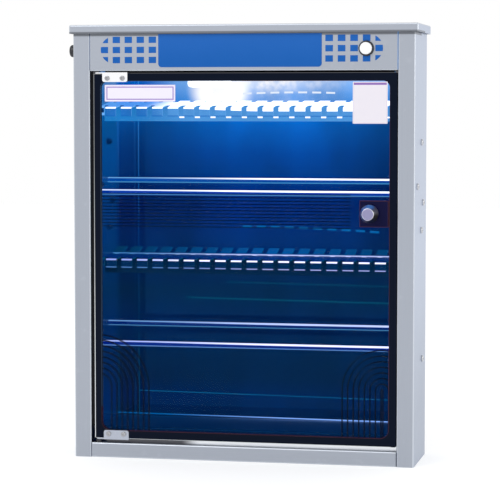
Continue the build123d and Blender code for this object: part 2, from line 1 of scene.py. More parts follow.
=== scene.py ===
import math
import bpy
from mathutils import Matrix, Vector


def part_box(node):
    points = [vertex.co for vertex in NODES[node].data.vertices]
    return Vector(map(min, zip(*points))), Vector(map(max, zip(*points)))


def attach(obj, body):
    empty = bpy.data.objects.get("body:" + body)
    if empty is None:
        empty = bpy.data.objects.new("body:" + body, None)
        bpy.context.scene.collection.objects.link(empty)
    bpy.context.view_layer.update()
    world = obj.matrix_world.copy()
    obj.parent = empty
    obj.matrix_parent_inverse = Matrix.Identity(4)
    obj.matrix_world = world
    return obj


bl_info = {
    "name": "Toothbrush Sterilizer Cabinet",
    "version": (1, 0, 0),
    "blender": (4, 5, 0),
    "location": "View3D > Sidebar > Sterilizer",
    "description": "Gives the steel cabinet its finishes, door print, header pattern, lamp glow and stage",
    "category": "Object",
}

import bmesh
import bpy
from bpy.props import FloatProperty, FloatVectorProperty, IntProperty, PointerProperty
from mathutils import Matrix, Vector

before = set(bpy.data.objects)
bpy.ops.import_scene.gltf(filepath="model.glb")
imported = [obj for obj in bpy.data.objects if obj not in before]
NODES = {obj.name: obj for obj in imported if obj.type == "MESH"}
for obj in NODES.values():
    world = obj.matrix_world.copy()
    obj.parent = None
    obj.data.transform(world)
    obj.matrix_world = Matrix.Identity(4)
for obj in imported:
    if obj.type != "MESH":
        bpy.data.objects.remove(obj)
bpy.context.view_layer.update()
MM = 0.001

GLASS_LOW, GLASS_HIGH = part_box("door_glass")
HEADER_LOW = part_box("header_panel")[0]
PLATE_LOW, PLATE_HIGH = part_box("header_plate")
BACK_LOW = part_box("back_panel")[0]
LAMP_LOW, LAMP_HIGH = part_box("lamp_cover")
LAMP_X = (LAMP_LOW.x + LAMP_HIGH.x) / 2
STRIKE_LOW, STRIKE_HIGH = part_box("strike_plate")
LID_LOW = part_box("top_lid")[0]
RACK_LOW, RACK_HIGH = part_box("lower_rack")

# The racks: the lip's height under the fold, the slots' pitch and number, and how far back the lip is lit
LIP_HEIGHT = 10 * MM
SLOT_PITCH = 18.7 * MM
SLOTS = 19
LIP_BACK = -36.5 * MM
FOLD_BACK = -35.5 * MM
UPPER_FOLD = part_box("upper_rack")[0].z + LIP_HEIGHT
LOWER_FOLD = RACK_LOW.z + LIP_HEIGHT

# The light spots under the upper rack's slots: the first one's middle, their height and where they start
SPOT_X, SPOT_Z = -5 * MM, 397.8 * MM
SPOT_HALF = 0.9 * MM
SPOTS_WEST = -95 * MM

# The lower rack's rear row: the strip on its crease, the band behind it, and where band and teeth start
STRIP_DEPTH, STRIP_HEIGHT = 2.2 * MM, 1.2 * MM
BAND_DEPTH, BAND_BACK = 4.0 * MM, 2.5 * MM
TOOTH_BACK = 3.5 * MM
CREASE_BACK = 25.6 * MM

# From the cabinet's middle to the door's jamb, to an inner wall and to the inner side of a hanger's edge
JAMB_X = 180.6 * MM
WALL_X = 175.8 * MM
HANGER_X = 174.2 * MM

# The hangers' lit front edges
HANGER_FRONT = -41.6 * MM
HANGER_LOW, HANGER_HIGH = 34 * MM, 439 * MM

# Where the inner sheets pass from lit to the groove's painted shade and light: their lowest height, and their
# front on walls and floor
LIT_LOW = 24 * MM
LIT_FRONT = -41.5 * MM
FLOOR_FRONT = -47 * MM

# The shade in the door's groove and under the lid
SILL_TOP = 30 * MM
GROOVE_LOW, GROOVE_HIGH = 12 * MM, 460 * MM
GROOVE_FRONT, GROOVE_BACK = HEADER_LOW.y + 1.2 * MM, BACK_LOW.y - 2 * MM
LID_SHADE_LOW, LID_SHADE_HIGH = 491.5 * MM, LID_LOW.z + 2 * MM

# Rows of dashes on the back wall, painted reflections of the racks. A row drops by its drop at a distance of
# its reach from its crown.
DASH_MIDDLE = -15 * MM
DASH_SHARE = 0.64
UPPER_DASHES = {
    "height": 427 * MM, "half": 1.1 * MM, "pitch": 16.8 * MM, "west": -25 * MM, "east": 95 * MM,
    "crown": 45 * MM, "reach": 65 * MM, "drop": 1.5 * MM,
}
LOWER_DASHES = {
    "height": 266.9 * MM, "half": 1.3 * MM, "pitch": 17.1 * MM, "west": -24 * MM, "east": 146 * MM,
    "crown": -15 * MM, "reach": 154 * MM, "drop": 4.8 * MM,
}

# Upright lines at the back wall's left end, painted reflections: place, half width and strength
UPRIGHT_LINES = (
    (-149.0 * MM, 0.55 * MM, 1.0),
    (-174.6 * MM, 0.6 * MM, 0.6),
    (-153.6 * MM, 0.4 * MM, 0.5),
)

# Each rod's painted light colors: underneath, the pale highlight line there, and the left and right ends of
# its bright upper highlight line
ROD_LIGHT_COLORS = {
    "upper_front_rod": ((0.0, 0.035, 0.36), (0.06, 0.22, 0.46), (0.75, 0.85, 1.2), (1.5, 1.5, 1.6)),
    "upper_rear_rod": ((0.0, 0.06, 0.34), (0.05, 0.25, 0.50), (0.13, 0.36, 0.68), (1.4, 1.4, 1.6)),
    "lower_front_rod": ((0.0, 0.013, 0.20), (0.10, 0.24, 0.56), (0.42, 0.50, 1.0), (1.1, 1.1, 1.5)),
    "lower_rear_rod": ((0.0, 0.013, 0.13), (0.05, 0.20, 0.40), (0.13, 0.30, 0.62), (0.62, 0.72, 1.2)),
}

# The printed arches' middle across, the height they spring from and the innermost radius
RIGHT_ARCHES = (163 * MM, 87 * MM, 1.1 * MM)
LEFT_ARCHES = (-172.5 * MM, 83 * MM, 16.2 * MM)
STRIPES_LOW, STRIPES_HIGH, STRIPES_EAST = 270.5 * MM, 311 * MM, 126 * MM

# Each pattern of squares: its outer end, its middle row's height and the way towards the plate
PATTERNS = {
    "header_squares_left": (-166.6 * MM, 475.5 * MM, 1),
    "header_squares_right": (163.0 * MM, 476.3 * MM, -1),
}
CUTTER_LENGTH, CUTTER_DEPTH = 100 * MM, 10 * MM
END_MARGIN = 0.4 * MM

# The stickers' lowest and highest corners across and up, in millimetres
WIDE_STICKER = ((-162.4, 416.0), (-78.1, 435.4))
TALL_STICKER = ((128.6, 391.0), (168.4, 438.4))
PAPER, PAPER_CORNER = 0.15 * MM, 0.6 * MM

CAMERA_PLACE = (0.5162, -2.4755, 0.4137)
LIGHT_TARGET = (0, 0, 0.25)

# The light's color on the inner walls, by height in millimetres
LIGHT_BY_HEIGHT = [
    (36, (0.0, 0.009, 0.045)),
    (60, (0.0, 0.008, 0.058)),
    (84, (0.0, 0.007, 0.038)),
    (108, (0.0, 0.009, 0.044)),
    (150, (0.0, 0.010, 0.062)),
    (190, (0.0, 0.011, 0.048)),
    (225, (0.0, 0.010, 0.075)),
    (250, (0.0, 0.018, 0.130)),
    (292, (0.0, 0.014, 0.140)),
    (330, (0.0, 0.036, 0.230)),
    (355, (0.0, 0.050, 0.300)),
    (385, (0.001, 0.090, 0.430)),
    (404, (0.002, 0.130, 0.520)),
    (418, (0.05, 0.24, 0.66)),
    (440, (0.16, 0.38, 0.80)),
]


def color_setting(name, words, value):
    return FloatVectorProperty(
        name=name, description=words, default=value, size=3, subtype="COLOR", min=0, max=4,
    )


def length_setting(name, words, value):
    return FloatProperty(name=name, description=words, default=value, unit="LENGTH", min=0)


class SteelSettings(bpy.types.PropertyGroup):
    """The outer sheet."""

    tone: color_setting("Steel", "Color of the satin sheet", (0.400, 0.430, 0.490))
    # The edge color stands for real wear where the sheet is rubbed bright, and also for the painted highlight
    # on rounded folds
    edge: color_setting("Edge", "Color of the sheet where it is rubbed bright", (0.62, 0.66, 0.72))
    rough: FloatProperty(
        name="Roughness", description="Roughness of the satin sheet", default=0.42, min=0, max=1,
    )
    grain: length_setting("Grain", "Width of one brushed streak", 0.0006)


class GlowSettings(bpy.types.PropertyGroup):
    """The blue light inside the cabinet."""

    strength: FloatProperty(name="Strength", description="Brightness of the lit walls", default=1.0, min=0)
    mirror: color_setting("Mirror tint", "Tint of what the bright walls reflect", (0.0004, 0.008, 0.024))
    edge: color_setting("Edge light", "Light on the front edges of the hangers", (0.10, 1.0, 1.9))
    lamp: color_setting("Lamp", "Color of the lamp's cover", (1.0, 1.0, 1.05))
    reach: length_setting("Halo", "Size of the white halo round the lamp", 0.030)


class DoorPrintSettings(bpy.types.PropertyGroup):
    """The print on the glass."""

    ink: color_setting("Ink", "Color of the black border", (0.0035, 0.0065, 0.0165))
    strike: color_setting("Square", "Color of the printed square behind the knob", (0.007, 0.007, 0.040))
    outline: color_setting("Outline", "Color of the thin line round the clear part", (0.075, 0.028, 0.045))
    rim: color_setting("Rim", "Color of the glass's bare rim in the light", (0.80, 0.83, 0.85))
    left: length_setting("Left border", "Width of the border at the hinges", 0.0085)
    right: length_setting("Right border", "Width of the border at the knob", 0.0085)
    bottom: length_setting("Bottom border", "Height of the lower border", 0.0095)
    top: length_setting("Top border", "Height of the upper border", 0.0088)
    bare: length_setting("Bare rim", "Width of the glass's rim without print", 0.0010)
    low_corner: length_setting("Lower corners", "Radius of the clear part's lower corners", 0.0105)
    high_corner: length_setting("Upper corners", "Radius of the clear part's upper corners", 0.008)
    arch_pitch: length_setting("Arch pitch", "Distance from one printed arch to the next", 0.00642)
    arch_count: IntProperty(
        name="Arches", description="Number of printed arches in a corner", default=8, min=1,
    )
    stripe_pitch: length_setting("Stripe pitch", "Distance between the fine printed stripes", 0.0038)


class HeaderSettings(bpy.types.PropertyGroup):
    """The printed pattern on the header."""

    blue: color_setting("Blue", "Color of the plate and of the squares", (0.004, 0.100, 0.400))
    square_width: length_setting("Square width", "Width of one square", 0.0087)
    square_height: length_setting("Square height", "Height of one square", 0.0072)
    pitch_across: length_setting("Pitch across", "Distance between columns", 0.0143)
    pitch_up: length_setting("Pitch up", "Distance between rows", 0.0116)
    columns: IntProperty(name="Columns", description="Columns on each side of the plate", default=5, min=1)
    rows: IntProperty(name="Rows", description="Rows of squares", default=3, min=1)
    film: length_setting("Film", "Thickness of the printed film", 0.0002)


class StageSettings(bpy.types.PropertyGroup):
    """The floor, lights and camera."""

    lens: FloatProperty(name="Lens", description="Focal length of the camera", default=155.58, unit="CAMERA")
    yaw: FloatProperty(
        name="Yaw", description="Turn of the camera", default=math.radians(11.80), subtype="ANGLE",
    )
    pitch: FloatProperty(
        name="Pitch", description="Downward tilt", default=math.radians(3.876), subtype="ANGLE",
    )
    pale: color_setting("Floor", "Color of the floor", (0.93, 0.94, 0.95))
    room: FloatProperty(
        name="Room light", description="Strength of the pale room's light", default=0.85, min=0,
    )


def settings():
    return bpy.context.scene.sterilizer


class Wire:
    """A number in a shader, which Python's own signs work on."""

    def __init__(self, finish, socket):
        self.finish = finish
        self.socket = socket

    def math(self, operation, *others):
        return self.finish.number("ShaderNodeMath", {"operation": operation}, self, *others)

    def __add__(self, other):
        return self.math("ADD", other)

    __radd__ = __add__

    def __sub__(self, other):
        return self.math("SUBTRACT", other)

    def __rsub__(self, other):
        return self.finish.number("ShaderNodeMath", {"operation": "SUBTRACT"}, other, self)

    def __mul__(self, other):
        return self.math("MULTIPLY", other)

    __rmul__ = __mul__

    def __truediv__(self, other):
        return self.math("DIVIDE", other)

    def __gt__(self, other):
        return self.math("GREATER_THAN", other)

    def __lt__(self, other):
        return self.math("LESS_THAN", other)

    def __abs__(self):
        return self.math("ABSOLUTE")

    def within(self, low, high):
        return (self > low) * (self < high)

    def least(self, other):
        return self.math("MINIMUM", other)

    def most(self, other):
        return self.math("MAXIMUM", other)

    def fraction(self):
        return self.math("FRACT")

    def root(self):
        return self.math("SQRT")

    def ease(self, low, high):
        """0 under low, 1 over high, and smooth between them."""
        kind = {"interpolation_type": "SMOOTHSTEP"}
        return self.finish.number("ShaderNodeMapRange", kind, self, low, high, 0.0, 1.0)


class Finish:
    """A material with one Principled shader, whose sockets are set by name."""

    def __init__(self, name, **sockets):
        self.material = bpy.data.materials.new(name)
        self.material.use_nodes = True
        self.tree = self.material.node_tree
        self.shader = self.tree.nodes["Principled BSDF"]
        self.output = self.tree.nodes["Material Output"]
        self.set(**sockets)

    def put(self, socket, value):
        """Sets a socket from a number, a color, a wire or another socket."""
        if isinstance(value, Wire):
            value = value.socket
        if isinstance(value, bpy.types.NodeSocket):
            self.tree.links.new(value, socket)
        elif socket.type == "RGBA" and len(value) == 3:
            socket.default_value = (*value, 1.0)
        else:
            socket.default_value = value

    def set(self, **sockets):
        for name, value in sockets.items():
            self.put(self.shader.inputs[name.replace("_", " ")], value)

    def node(self, kind, modes=None, *values, **named):
        """Any node: its modes first, then its sockets in order or by name."""
        node = self.tree.nodes.new(kind)
        for name, value in (modes or {}).items():
            setattr(node, name, value)
        for socket, value in zip(node.inputs, values):
            if value is not None:
                self.put(socket, value)
        for name, value in named.items():
            self.put(node.inputs[name.replace("_", " ")], value)
        return node

    def number(self, kind, modes, *values):
        return Wire(self, self.node(kind, modes, *values).outputs[0])

    def place(self):
        """Object coordinates as three wires, in metres."""
        spot = self.node("ShaderNodeTexCoord").outputs["Object"]
        return [Wire(self, socket) for socket in self.node("ShaderNodeSeparateXYZ", None, spot).outputs]

    def facing(self):
        """The surface's own direction as three wires."""
        turn = self.node("ShaderNodeTexCoord").outputs["Normal"]
        return [Wire(self, socket) for socket in self.node("ShaderNodeSeparateXYZ", None, turn).outputs]

    def noise(self, size, stretch=(1, 1, 1), detail=3.0, seed=0.0):
        """Soft noise with grains of about the given size in metres, drawn out along an axis."""
        spot = self.node("ShaderNodeTexCoord").outputs["Object"]
        scale = [1 / (size * factor) for factor in stretch]
        spread = self.node("ShaderNodeMapping", None, spot, (seed, seed, seed), (0, 0, 0), scale).outputs[0]
        grain = self.node("ShaderNodeTexNoise", None, Vector=spread, Scale=1.0, Detail=detail)
        return Wire(self, grain.outputs["Fac"])

    def mix(self, mask, first, second):
        """The first color where the mask is 0, and the second where it is 1."""
        node = self.tree.nodes.new("ShaderNodeMix")
        node.data_type = "RGBA"
        self.put(node.inputs[0], mask)
        self.put(node.inputs[6], first)
        self.put(node.inputs[7], second)
        return node.outputs[2]

    def dim(self, color, strength):
        """A color times a number."""
        node = self.node("ShaderNodeVectorMath", {"operation": "SCALE"}, color)
        self.put(node.inputs["Scale"], strength)
        return node.outputs[0]

    def ramp(self, value, stops):
        """A color from a number, by a list of places and colors."""
        node = self.node("ShaderNodeValToRGB", None, value)
        band = node.color_ramp
        while len(band.elements) < len(stops):
            band.elements.new(1.0)
        for element, (spot, color) in zip(band.elements, stops):
            element.position = spot
            element.color = (*color, 1.0)
        return node.outputs[0]

    def bump(self, height, depth, strength=0.5):
        node = self.node("ShaderNodeBump", None, Strength=strength, Distance=depth, Height=height)
        self.set(Normal=node.outputs[0])

    def blend(self, mask, other):
        """Shows the other finish's shader where the mask is 1."""
        mixer = self.node("ShaderNodeMixShader", None, mask, self.shader.outputs[0], other.outputs[0])
        self.tree.links.new(mixer.outputs[0], self.output.inputs["Surface"])


def dress(nodes, finish):
    """Gives a finish to CAD nodes."""
    for name in nodes:
        mesh = NODES[name].data
        mesh.materials.clear()
        mesh.materials.append(finish.material)


def add_piece(name, mesh, finish, body):
    """A finished piece of the object, at the origin, on its body."""
    piece = bpy.data.objects.new(name, mesh)
    bpy.context.scene.collection.objects.link(piece)
    mesh.materials.clear()
    mesh.materials.append(finish.material)
    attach(piece, body)
    return piece


def satin_steel(name, along="Z"):
    """Satin sheet: fine streaks, cloudy patches, painted highlights on the folds, painted side light on the
    faces turned left or right, and painted shade in the door's groove and under the lid.
    """
    steel = settings().steel
    finish = Finish(name, Metallic=1.0)
    x, y, z = finish.place()
    stretch = {"X": (60, 1, 1), "Z": (1, 1, 60)}[along]
    streak = finish.noise(steel.grain, stretch, detail=2.0)
    cloud = finish.noise(0.05, detail=3.0, seed=3.0)
    worn = finish.noise(0.012, detail=4.0, seed=8.0).ease(0.62, 0.80)
    tone = finish.mix(streak * 0.30 + cloud * 0.15, steel.tone, [c * 0.86 for c in steel.tone])
    across, _, up = finish.facing()
    tone = finish.mix(worn * 0.12, tone, steel.edge)
    # Painted light: faces turned to the left or right take a paler, bluer tone, darker towards the bottom, in
    # place of the side light
    side = finish.mix(0.6, tone, (0.60, 0.68, 0.84))
    tone = finish.mix(abs(across) > 0.9, tone, finish.dim(side, z.ease(50 * MM, 260 * MM) * 0.24 + 0.76))
    # Painted highlight on the rounded folds, in the edge color
    tone = finish.mix(fold_highlight_mask(finish) * 0.7, tone, steel.edge)
    tone = finish.mix(shade_mask(x, y, z, up), tone, (0.02, 0.02, 0.022))
    finish.set(Base_Color=tone, Roughness=streak * 0.10 + cloud * 0.06 + (steel.rough - 0.08))
    finish.bump(streak, 0.00004, 0.25)
    return finish


def shade_mask(x, y, z, up):
    """1 in the groove round the door, except on its sill, and about half under the lid."""
    sill = (up > 0.5) * (z < SILL_TOP)
    groove = (abs(x) < JAMB_X) * y.within(GROOVE_FRONT, GROOVE_BACK) * (1 - sill)
    groove = groove * z.within(GROOVE_LOW, GROOVE_HIGH)
    under_lid = z.within(LID_SHADE_LOW, LID_SHADE_HIGH) * (y < 0.0)
    return groove.most(under_lid * 0.55)


def fold_highlight_mask(finish):
    """1 where the surface turns from one side to the next, on a rounded fold, where a painted highlight goes.
    """
    across, out, up = finish.facing()
    return abs(across).most(abs(out)).most(abs(up)) < 0.955


def wall_light(finish, x, z):
    """The blue light on an inner wall, by height, with a white halo at the lamp."""
    low, high = LIGHT_BY_HEIGHT[0][0], LIGHT_BY_HEIGHT[-1][0]
    stops = [((height - low) / (high - low), color) for height, color in LIGHT_BY_HEIGHT]
    light = finish.ramp((z / MM - low) / (high - low), stops)
    reach = settings().glow.reach
    aside = x - LAMP_X
    below = z - LAMP_LOW.z
    distance = (aside * aside + below * below).root()
    halo = 1 - distance.ease(0.75 * reach, 1.45 * reach)
    return finish.mix(halo * (z > UPPER_FOLD), light, settings().glow.lamp)


def groove_shade_and_light(finish, x, z):
    """The steel in the groove round the door, with painted shade and light: dark, and pale under the door to
    the right.
    """
    # Painted light on the sill under the door to the right, and painted shade elsewhere in the groove
    pale = (z < LIT_LOW) * x.ease(-75 * MM, -50 * MM)
    return finish.mix(pale, (0.10, 0.10, 0.11), (0.85, 0.87, 0.90))


def lit_steel(name, teal=0.0, rough=0.07, front=LIT_FRONT):
    """Bright sheet in the lamp's blue light, painted on as glow, which mirrors what is round it, and with the
    groove's painted shade and light before the front.
    """
    glow = settings().glow
    finish = Finish(name, Metallic=1.0)
    x, y, z = finish.place()
    inside = (abs(x) < WALL_X) * (y > front) * (z > LIT_LOW)
    cloud = finish.noise(0.06, (1, 1, 2), detail=3.0)
    light = finish.dim(wall_light(finish, x, z), (cloud * 0.7 + 0.65) * inside * glow.strength)
    # Painted teal light, paler higher up, blended into the glow by the teal share
    teal_light = finish.mix(z.ease(0.10, 0.45), (0.0, 0.025, 0.14), (0.0, 0.08, 0.15))
    light = finish.mix(teal, finish.dim(light, 1 - z.ease(0.33, 0.40) * 0.35), finish.dim(teal_light, inside))
    edge = (y < HANGER_FRONT) * abs(x).within(HANGER_X, WALL_X) * z.within(HANGER_LOW, HANGER_HIGH)
    finish.set(
        Base_Color=finish.mix(inside, groove_shade_and_light(finish, x, z), glow.mirror),
        Roughness=cloud * 0.04 + (rough - 0.02),
        Emission_Color=finish.mix(edge, light, glow.edge),
        Emission_Strength=1.0,
    )
    return finish


class STERILIZER_OT_shell(bpy.types.Operator):
    """Give the outer sheet its satin finish, with painted highlights and shade"""

    bl_idname = "sterilizer.shell"
    bl_label = "Outer Shell"

    def execute(self, context):
        dress(["left_side_panel", "right_side_panel", "base_panel"], satin_steel("satin_upright_sheet", "Z"))
        dress(["top_lid", "header_panel", "bottom_rail"], satin_steel("satin_level_sheet", "X"))
        self.dress_back()
        return {"FINISHED"}

    def dress_back(self):
        """The back panel: satin outside, and a lit mirror inside."""
        glow = settings().glow
        finish = satin_steel("satin_back_sheet", "Z")
        x, y, z = finish.place()
        inside = y < BACK_LOW.y + 0.4 * MM
        cloud = finish.noise(0.06, (1, 1, 2), detail=3.0)
        # Painted shade: the wall's glow is weaker towards its left and right ends, from about 150 mm up to
        # the upper rack's fold
        sides = (1 - x.ease(-140 * MM, -10 * MM)) * 0.45 + x.ease(75 * MM, 160 * MM) * 0.60
        sides = sides * z.ease(0.15, 0.28) * (z < UPPER_FOLD)
        light = finish.dim(wall_light(finish, x, z), (cloud * 1.1 + 0.5) * (1.05 - sides))
        light = self.glare(finish, light, x, z)
        light = self.reflections(finish, light, x, z)
        tone = finish.shader.inputs["Base Color"].links[0].from_socket
        finish.set(
            Base_Color=finish.mix(inside, tone, glow.mirror),
            Emission_Color=finish.dim(light, inside * glow.strength),
            Emission_Strength=1.0,
            Roughness=0.42 - inside * 0.36,
        )
        dress(["back_panel"], finish)

    def glare(self, finish, light, x, z):
        """Over the upper rack: deep blue at the far left, and a mottled white glare right of the lamp."""
        band = z.ease(UPPER_FOLD, UPPER_FOLD + 6 * MM)
        light = finish.mix(band * (1 - x.ease(-150 * MM, -85 * MM)), light, (0.0, 0.10, 0.50))
        mottle = finish.noise(0.009, detail=4.0, seed=5.0).ease(0.30, 0.75)
        near = 1 - (x - LAMP_X).ease(40 * MM, 190 * MM)
        high = z.ease(UPPER_FOLD + 14 * MM, UPPER_FOLD + 32 * MM)
        white = near * (mottle * 0.6 + 0.55) * (high * 0.85 + 0.2) * (x > LAMP_X)
        return finish.mix((white * band).least(1.0), light, settings().glow.lamp)

    def reflections(self, finish, light, x, z):
        """Painted reflections: rows of short lines that the bright wall returns from the racks, and long
        lines near the floor.
        """
        light = finish.mix(self.dashes(x, z, UPPER_DASHES), light, (0.80, 0.88, 1.0))
        light = finish.mix(self.dashes(x, z, LOWER_DASHES), light, (0.0, 0.11, 0.37))
        floor_color = finish.mix(x.ease(-120 * MM, 60 * MM), (0.0, 0.11, 0.38), (0.22, 0.42, 1.0))
        light = finish.mix(self.long_line(x, z, 37.4 * MM, 0.7 * MM, 0.006), light, floor_color)
        sill_line = self.long_line(x, z, 64.5 * MM, 0.5 * MM, 0.012) * x.within(-150 * MM, 157 * MM)
        light = finish.mix(sill_line, light, (0.0, 0.09, 0.22))
        low_line = self.long_line(x, z, 179.5 * MM, 1.0 * MM, 0.012) * x.within(-90 * MM, 170 * MM)
        high_line = self.long_line(x, z, 199.5 * MM, 0.8 * MM, 0.012) * x.within(-40 * MM, 170 * MM)
        light = finish.mix(low_line.most(high_line * 0.7) * 0.7, light, (0.0, 0.075, 0.125))
        return self.upright_lines(finish, light, x, z)

    def dashes(self, x, z, row):
        """1 on a row of painted reflected dashes that drops away on both sides of its crown."""
        aside = (x - row["crown"]) / row["reach"]
        height = z - row["height"] + aside * aside * row["drop"]
        along = (x - DASH_MIDDLE) / row["pitch"] + 0.5
        dash = abs(along.fraction() - 0.5) < DASH_SHARE / 2
        return dash * (abs(height) < row["half"]) * x.within(row["west"], row["east"])

    def long_line(self, x, z, height, half, fall):
        """1 on a long line that falls a little to the right."""
        return abs(z - height + x * fall) < half

    def upright_lines(self, finish, light, x, z):
        """Thin upright painted reflections at the wall's left end, whose color changes with height."""
        lines = [(abs(x - place) < half) * strength for place, half, strength in UPRIGHT_LINES]
        tone = finish.ramp(z * 2.2, [
            (0.0, (0.0, 0.10, 0.22)), (0.35, (0.0, 0.05, 0.13)), (0.60, (0.0, 0.06, 0.30)),
            (0.95, (0.03, 0.32, 0.85)),
        ])
        return finish.mix(lines[0].most(lines[1]).most(lines[2]) * 0.6, light, tone)


class STERILIZER_OT_inside(bpy.types.Operator):
    """Light the inner walls, racks and rods"""

    bl_idname = "sterilizer.inside"
    bl_label = "Inner Walls, Racks and Rods"

    def execute(self, context):
        dress(["left_liner", "right_liner", "left_hanger", "right_hanger"], lit_steel("lit_wall", 0.35))
        dress(["inner_floor"], lit_steel("lit_floor", 0.0, 0.30, FLOOR_FRONT))
        dress(["inner_ceiling"], lit_steel("lit_ceiling", 0.0, 0.12))
        dress(["upper_rack"], self.upper_rack_finish())
        dress(["lower_rack"], self.lower_rack_finish())
        dress(["upper_rack_bar"], self.upper_bar_finish())
        dress(["lower_rack_bar"], self.plain_glow("lit_lower_bar", (0.0, 0.008, 0.028)))
        for name, colors in ROD_LIGHT_COLORS.items():
            dress([name], self.rod_finish("lit_" + name, *colors))
        dress(["acorn_nuts", "rack_screws"], self.plain_glow("lit_fastener", (0.0, 0.012, 0.060)))
        self.add_rear_teeth()
        return {"FINISHED"}

    def rack_sides(self, finish):
        """Masks of a rack's faces: its top, its fold, its lip and the right-hand faces of its slots."""
        _, y, _ = finish.place()
        across, out, up = finish.facing()
        top = up > 0.9
        fold = up.within(0.08, 0.9) * (out < -0.1) * (y < LIP_BACK)
        lip = (out < -0.9) * (y < LIP_BACK)
        return top, fold, lip, across > 0.7

    def upper_rack_finish(self):
        """The upper comb: white where the lamp strikes it, medium blue at its left end and on its lip."""
        finish = Finish("lit_upper_rack", Metallic=1.0, Roughness=0.2, Base_Color=(0.005, 0.025, 0.070))
        x, y, z = finish.place()
        top, fold, lip, wall = self.rack_sides(finish)
        white = (1.4, 1.45, 1.6)
        east = x.ease(-125 * MM, -80 * MM)
        cloud = finish.noise(0.02, detail=3.0) * 0.4 + 0.8
        light = finish.dim(finish.mix(east, (0.0, 0.05, 0.26), (0.02, 0.16, 0.50)), cloud)
        light = finish.mix(top, light, finish.mix(east.most(y < FOLD_BACK), (0.085, 0.27, 0.66), white))
        face = finish.dim(finish.mix(east, (0.016, 0.15, 0.50), (0.085, 0.30, 0.68)), cloud)
        face = finish.mix(z < UPPER_FOLD - 9.2 * MM, face, (0.0, 0.11, 0.46))
        lit_depth = x.ease(-100 * MM, 30 * MM) * 3.4 * MM + 0.8 * MM
        face = finish.mix(z > UPPER_FOLD - lit_depth, face, white)
        light = finish.mix(lip, light, face)
        light = finish.mix(fold, light, white)
        light = finish.mix(wall, light, (0.16, 0.42, 0.85))
        finish.set(Emission_Color=light, Emission_Strength=1.0)
        return finish

    def lower_rack_finish(self):
        """The lower comb: dark, with a painted highlight on its fold and a fainter one on its lip's edge."""
        finish = Finish("lit_lower_rack", Metallic=1.0, Roughness=0.2, Base_Color=(0.0005, 0.008, 0.025))
        x, _, z = finish.place()
        top, fold, lip, wall = self.rack_sides(finish)
        bright = finish.mix(x.ease(-150 * MM, -40 * MM), (0.33, 0.42, 0.95), (1.1, 1.1, 1.5))
        foot = finish.mix(x.ease(-130 * MM, 60 * MM), (0.08, 0.22, 0.55), (0.42, 0.45, 0.92))
        light = finish.mix(top, (0.0, 0.010, 0.045), (0.0, 0.010, 0.090))
        face = finish.mix(z < LOWER_FOLD - 8.9 * MM, (0.0, 0.016, 0.070), foot)
        face = finish.mix(z > LOWER_FOLD - 1.5 * MM, face, bright)
        light = finish.mix(lip, light, face)
        light = finish.mix(fold, light, bright)
        light = finish.mix(wall, light, (0.0, 0.06, 0.14))
        finish.set(Emission_Color=light, Emission_Strength=1.0)
        return finish

    def upper_bar_finish(self):
        """The angle under the upper rack, with light spots where the slots let the lamp through."""
        finish = Finish("lit_upper_bar", Metallic=1.0, Roughness=0.2, Base_Color=(0.005, 0.025, 0.070))
        x, _, z = finish.place()
        cloud = finish.noise(0.02, (3, 1, 1), detail=3.0) * 0.4 + 0.8
        spots = abs(((x - SPOT_X) / SLOT_PITCH + 0.5).fraction() - 0.5) < 0.16
        spots = spots * (abs(z - SPOT_Z) < SPOT_HALF) * (x > SPOTS_WEST)
        light = finish.mix(x.ease(-150 * MM, -60 * MM), (0.015, 0.20, 0.55), (0.075, 0.29, 0.66))
        finish.set(
            Emission_Color=finish.mix(spots, finish.dim(light, cloud), (1.2, 1.25, 1.4)),
            Emission_Strength=1.0,
        )
        return finish

    def plain_glow(self, name, color):
        """Small bright steel in blue light, lighter on its upper side."""
        finish = Finish(name, Metallic=1.0, Roughness=0.25, Base_Color=(0.001, 0.008, 0.025))
        _, _, up = finish.facing()
        cloud = finish.noise(0.01, detail=3.0)
        light = finish.mix(up.ease(-0.6, 0.9), color, [c * 2 for c in color])
        finish.set(Emission_Color=finish.dim(light, cloud * 0.4 + 0.8), Emission_Strength=1.0)
        return finish

    def rod_finish(self, name, under, line, west, east):
        """Polished bar with painted highlights: a bright line on its upper side, wider to the right, and a
        thin pale line below.
        """
        finish = Finish(name, Metallic=1.0, Roughness=0.12, Base_Color=(0.003, 0.012, 0.040))
        _, out, up = finish.facing()
        x, _, _ = finish.place()
        right = x.ease(-150 * MM, 60 * MM)
        stops = [(0.0, under), (0.08, line), (0.20, line), (0.26, under), (1.0, under)]
        light = finish.ramp(up * 0.5 + 0.5, stops)
        light = finish.mix(up > 0.62 - right * 0.22, light, finish.mix(right, west, east))
        finish.set(Emission_Color=finish.dim(light, 1 - out.ease(0.0, 0.5) * 0.8), Emission_Strength=1.0)
        return finish

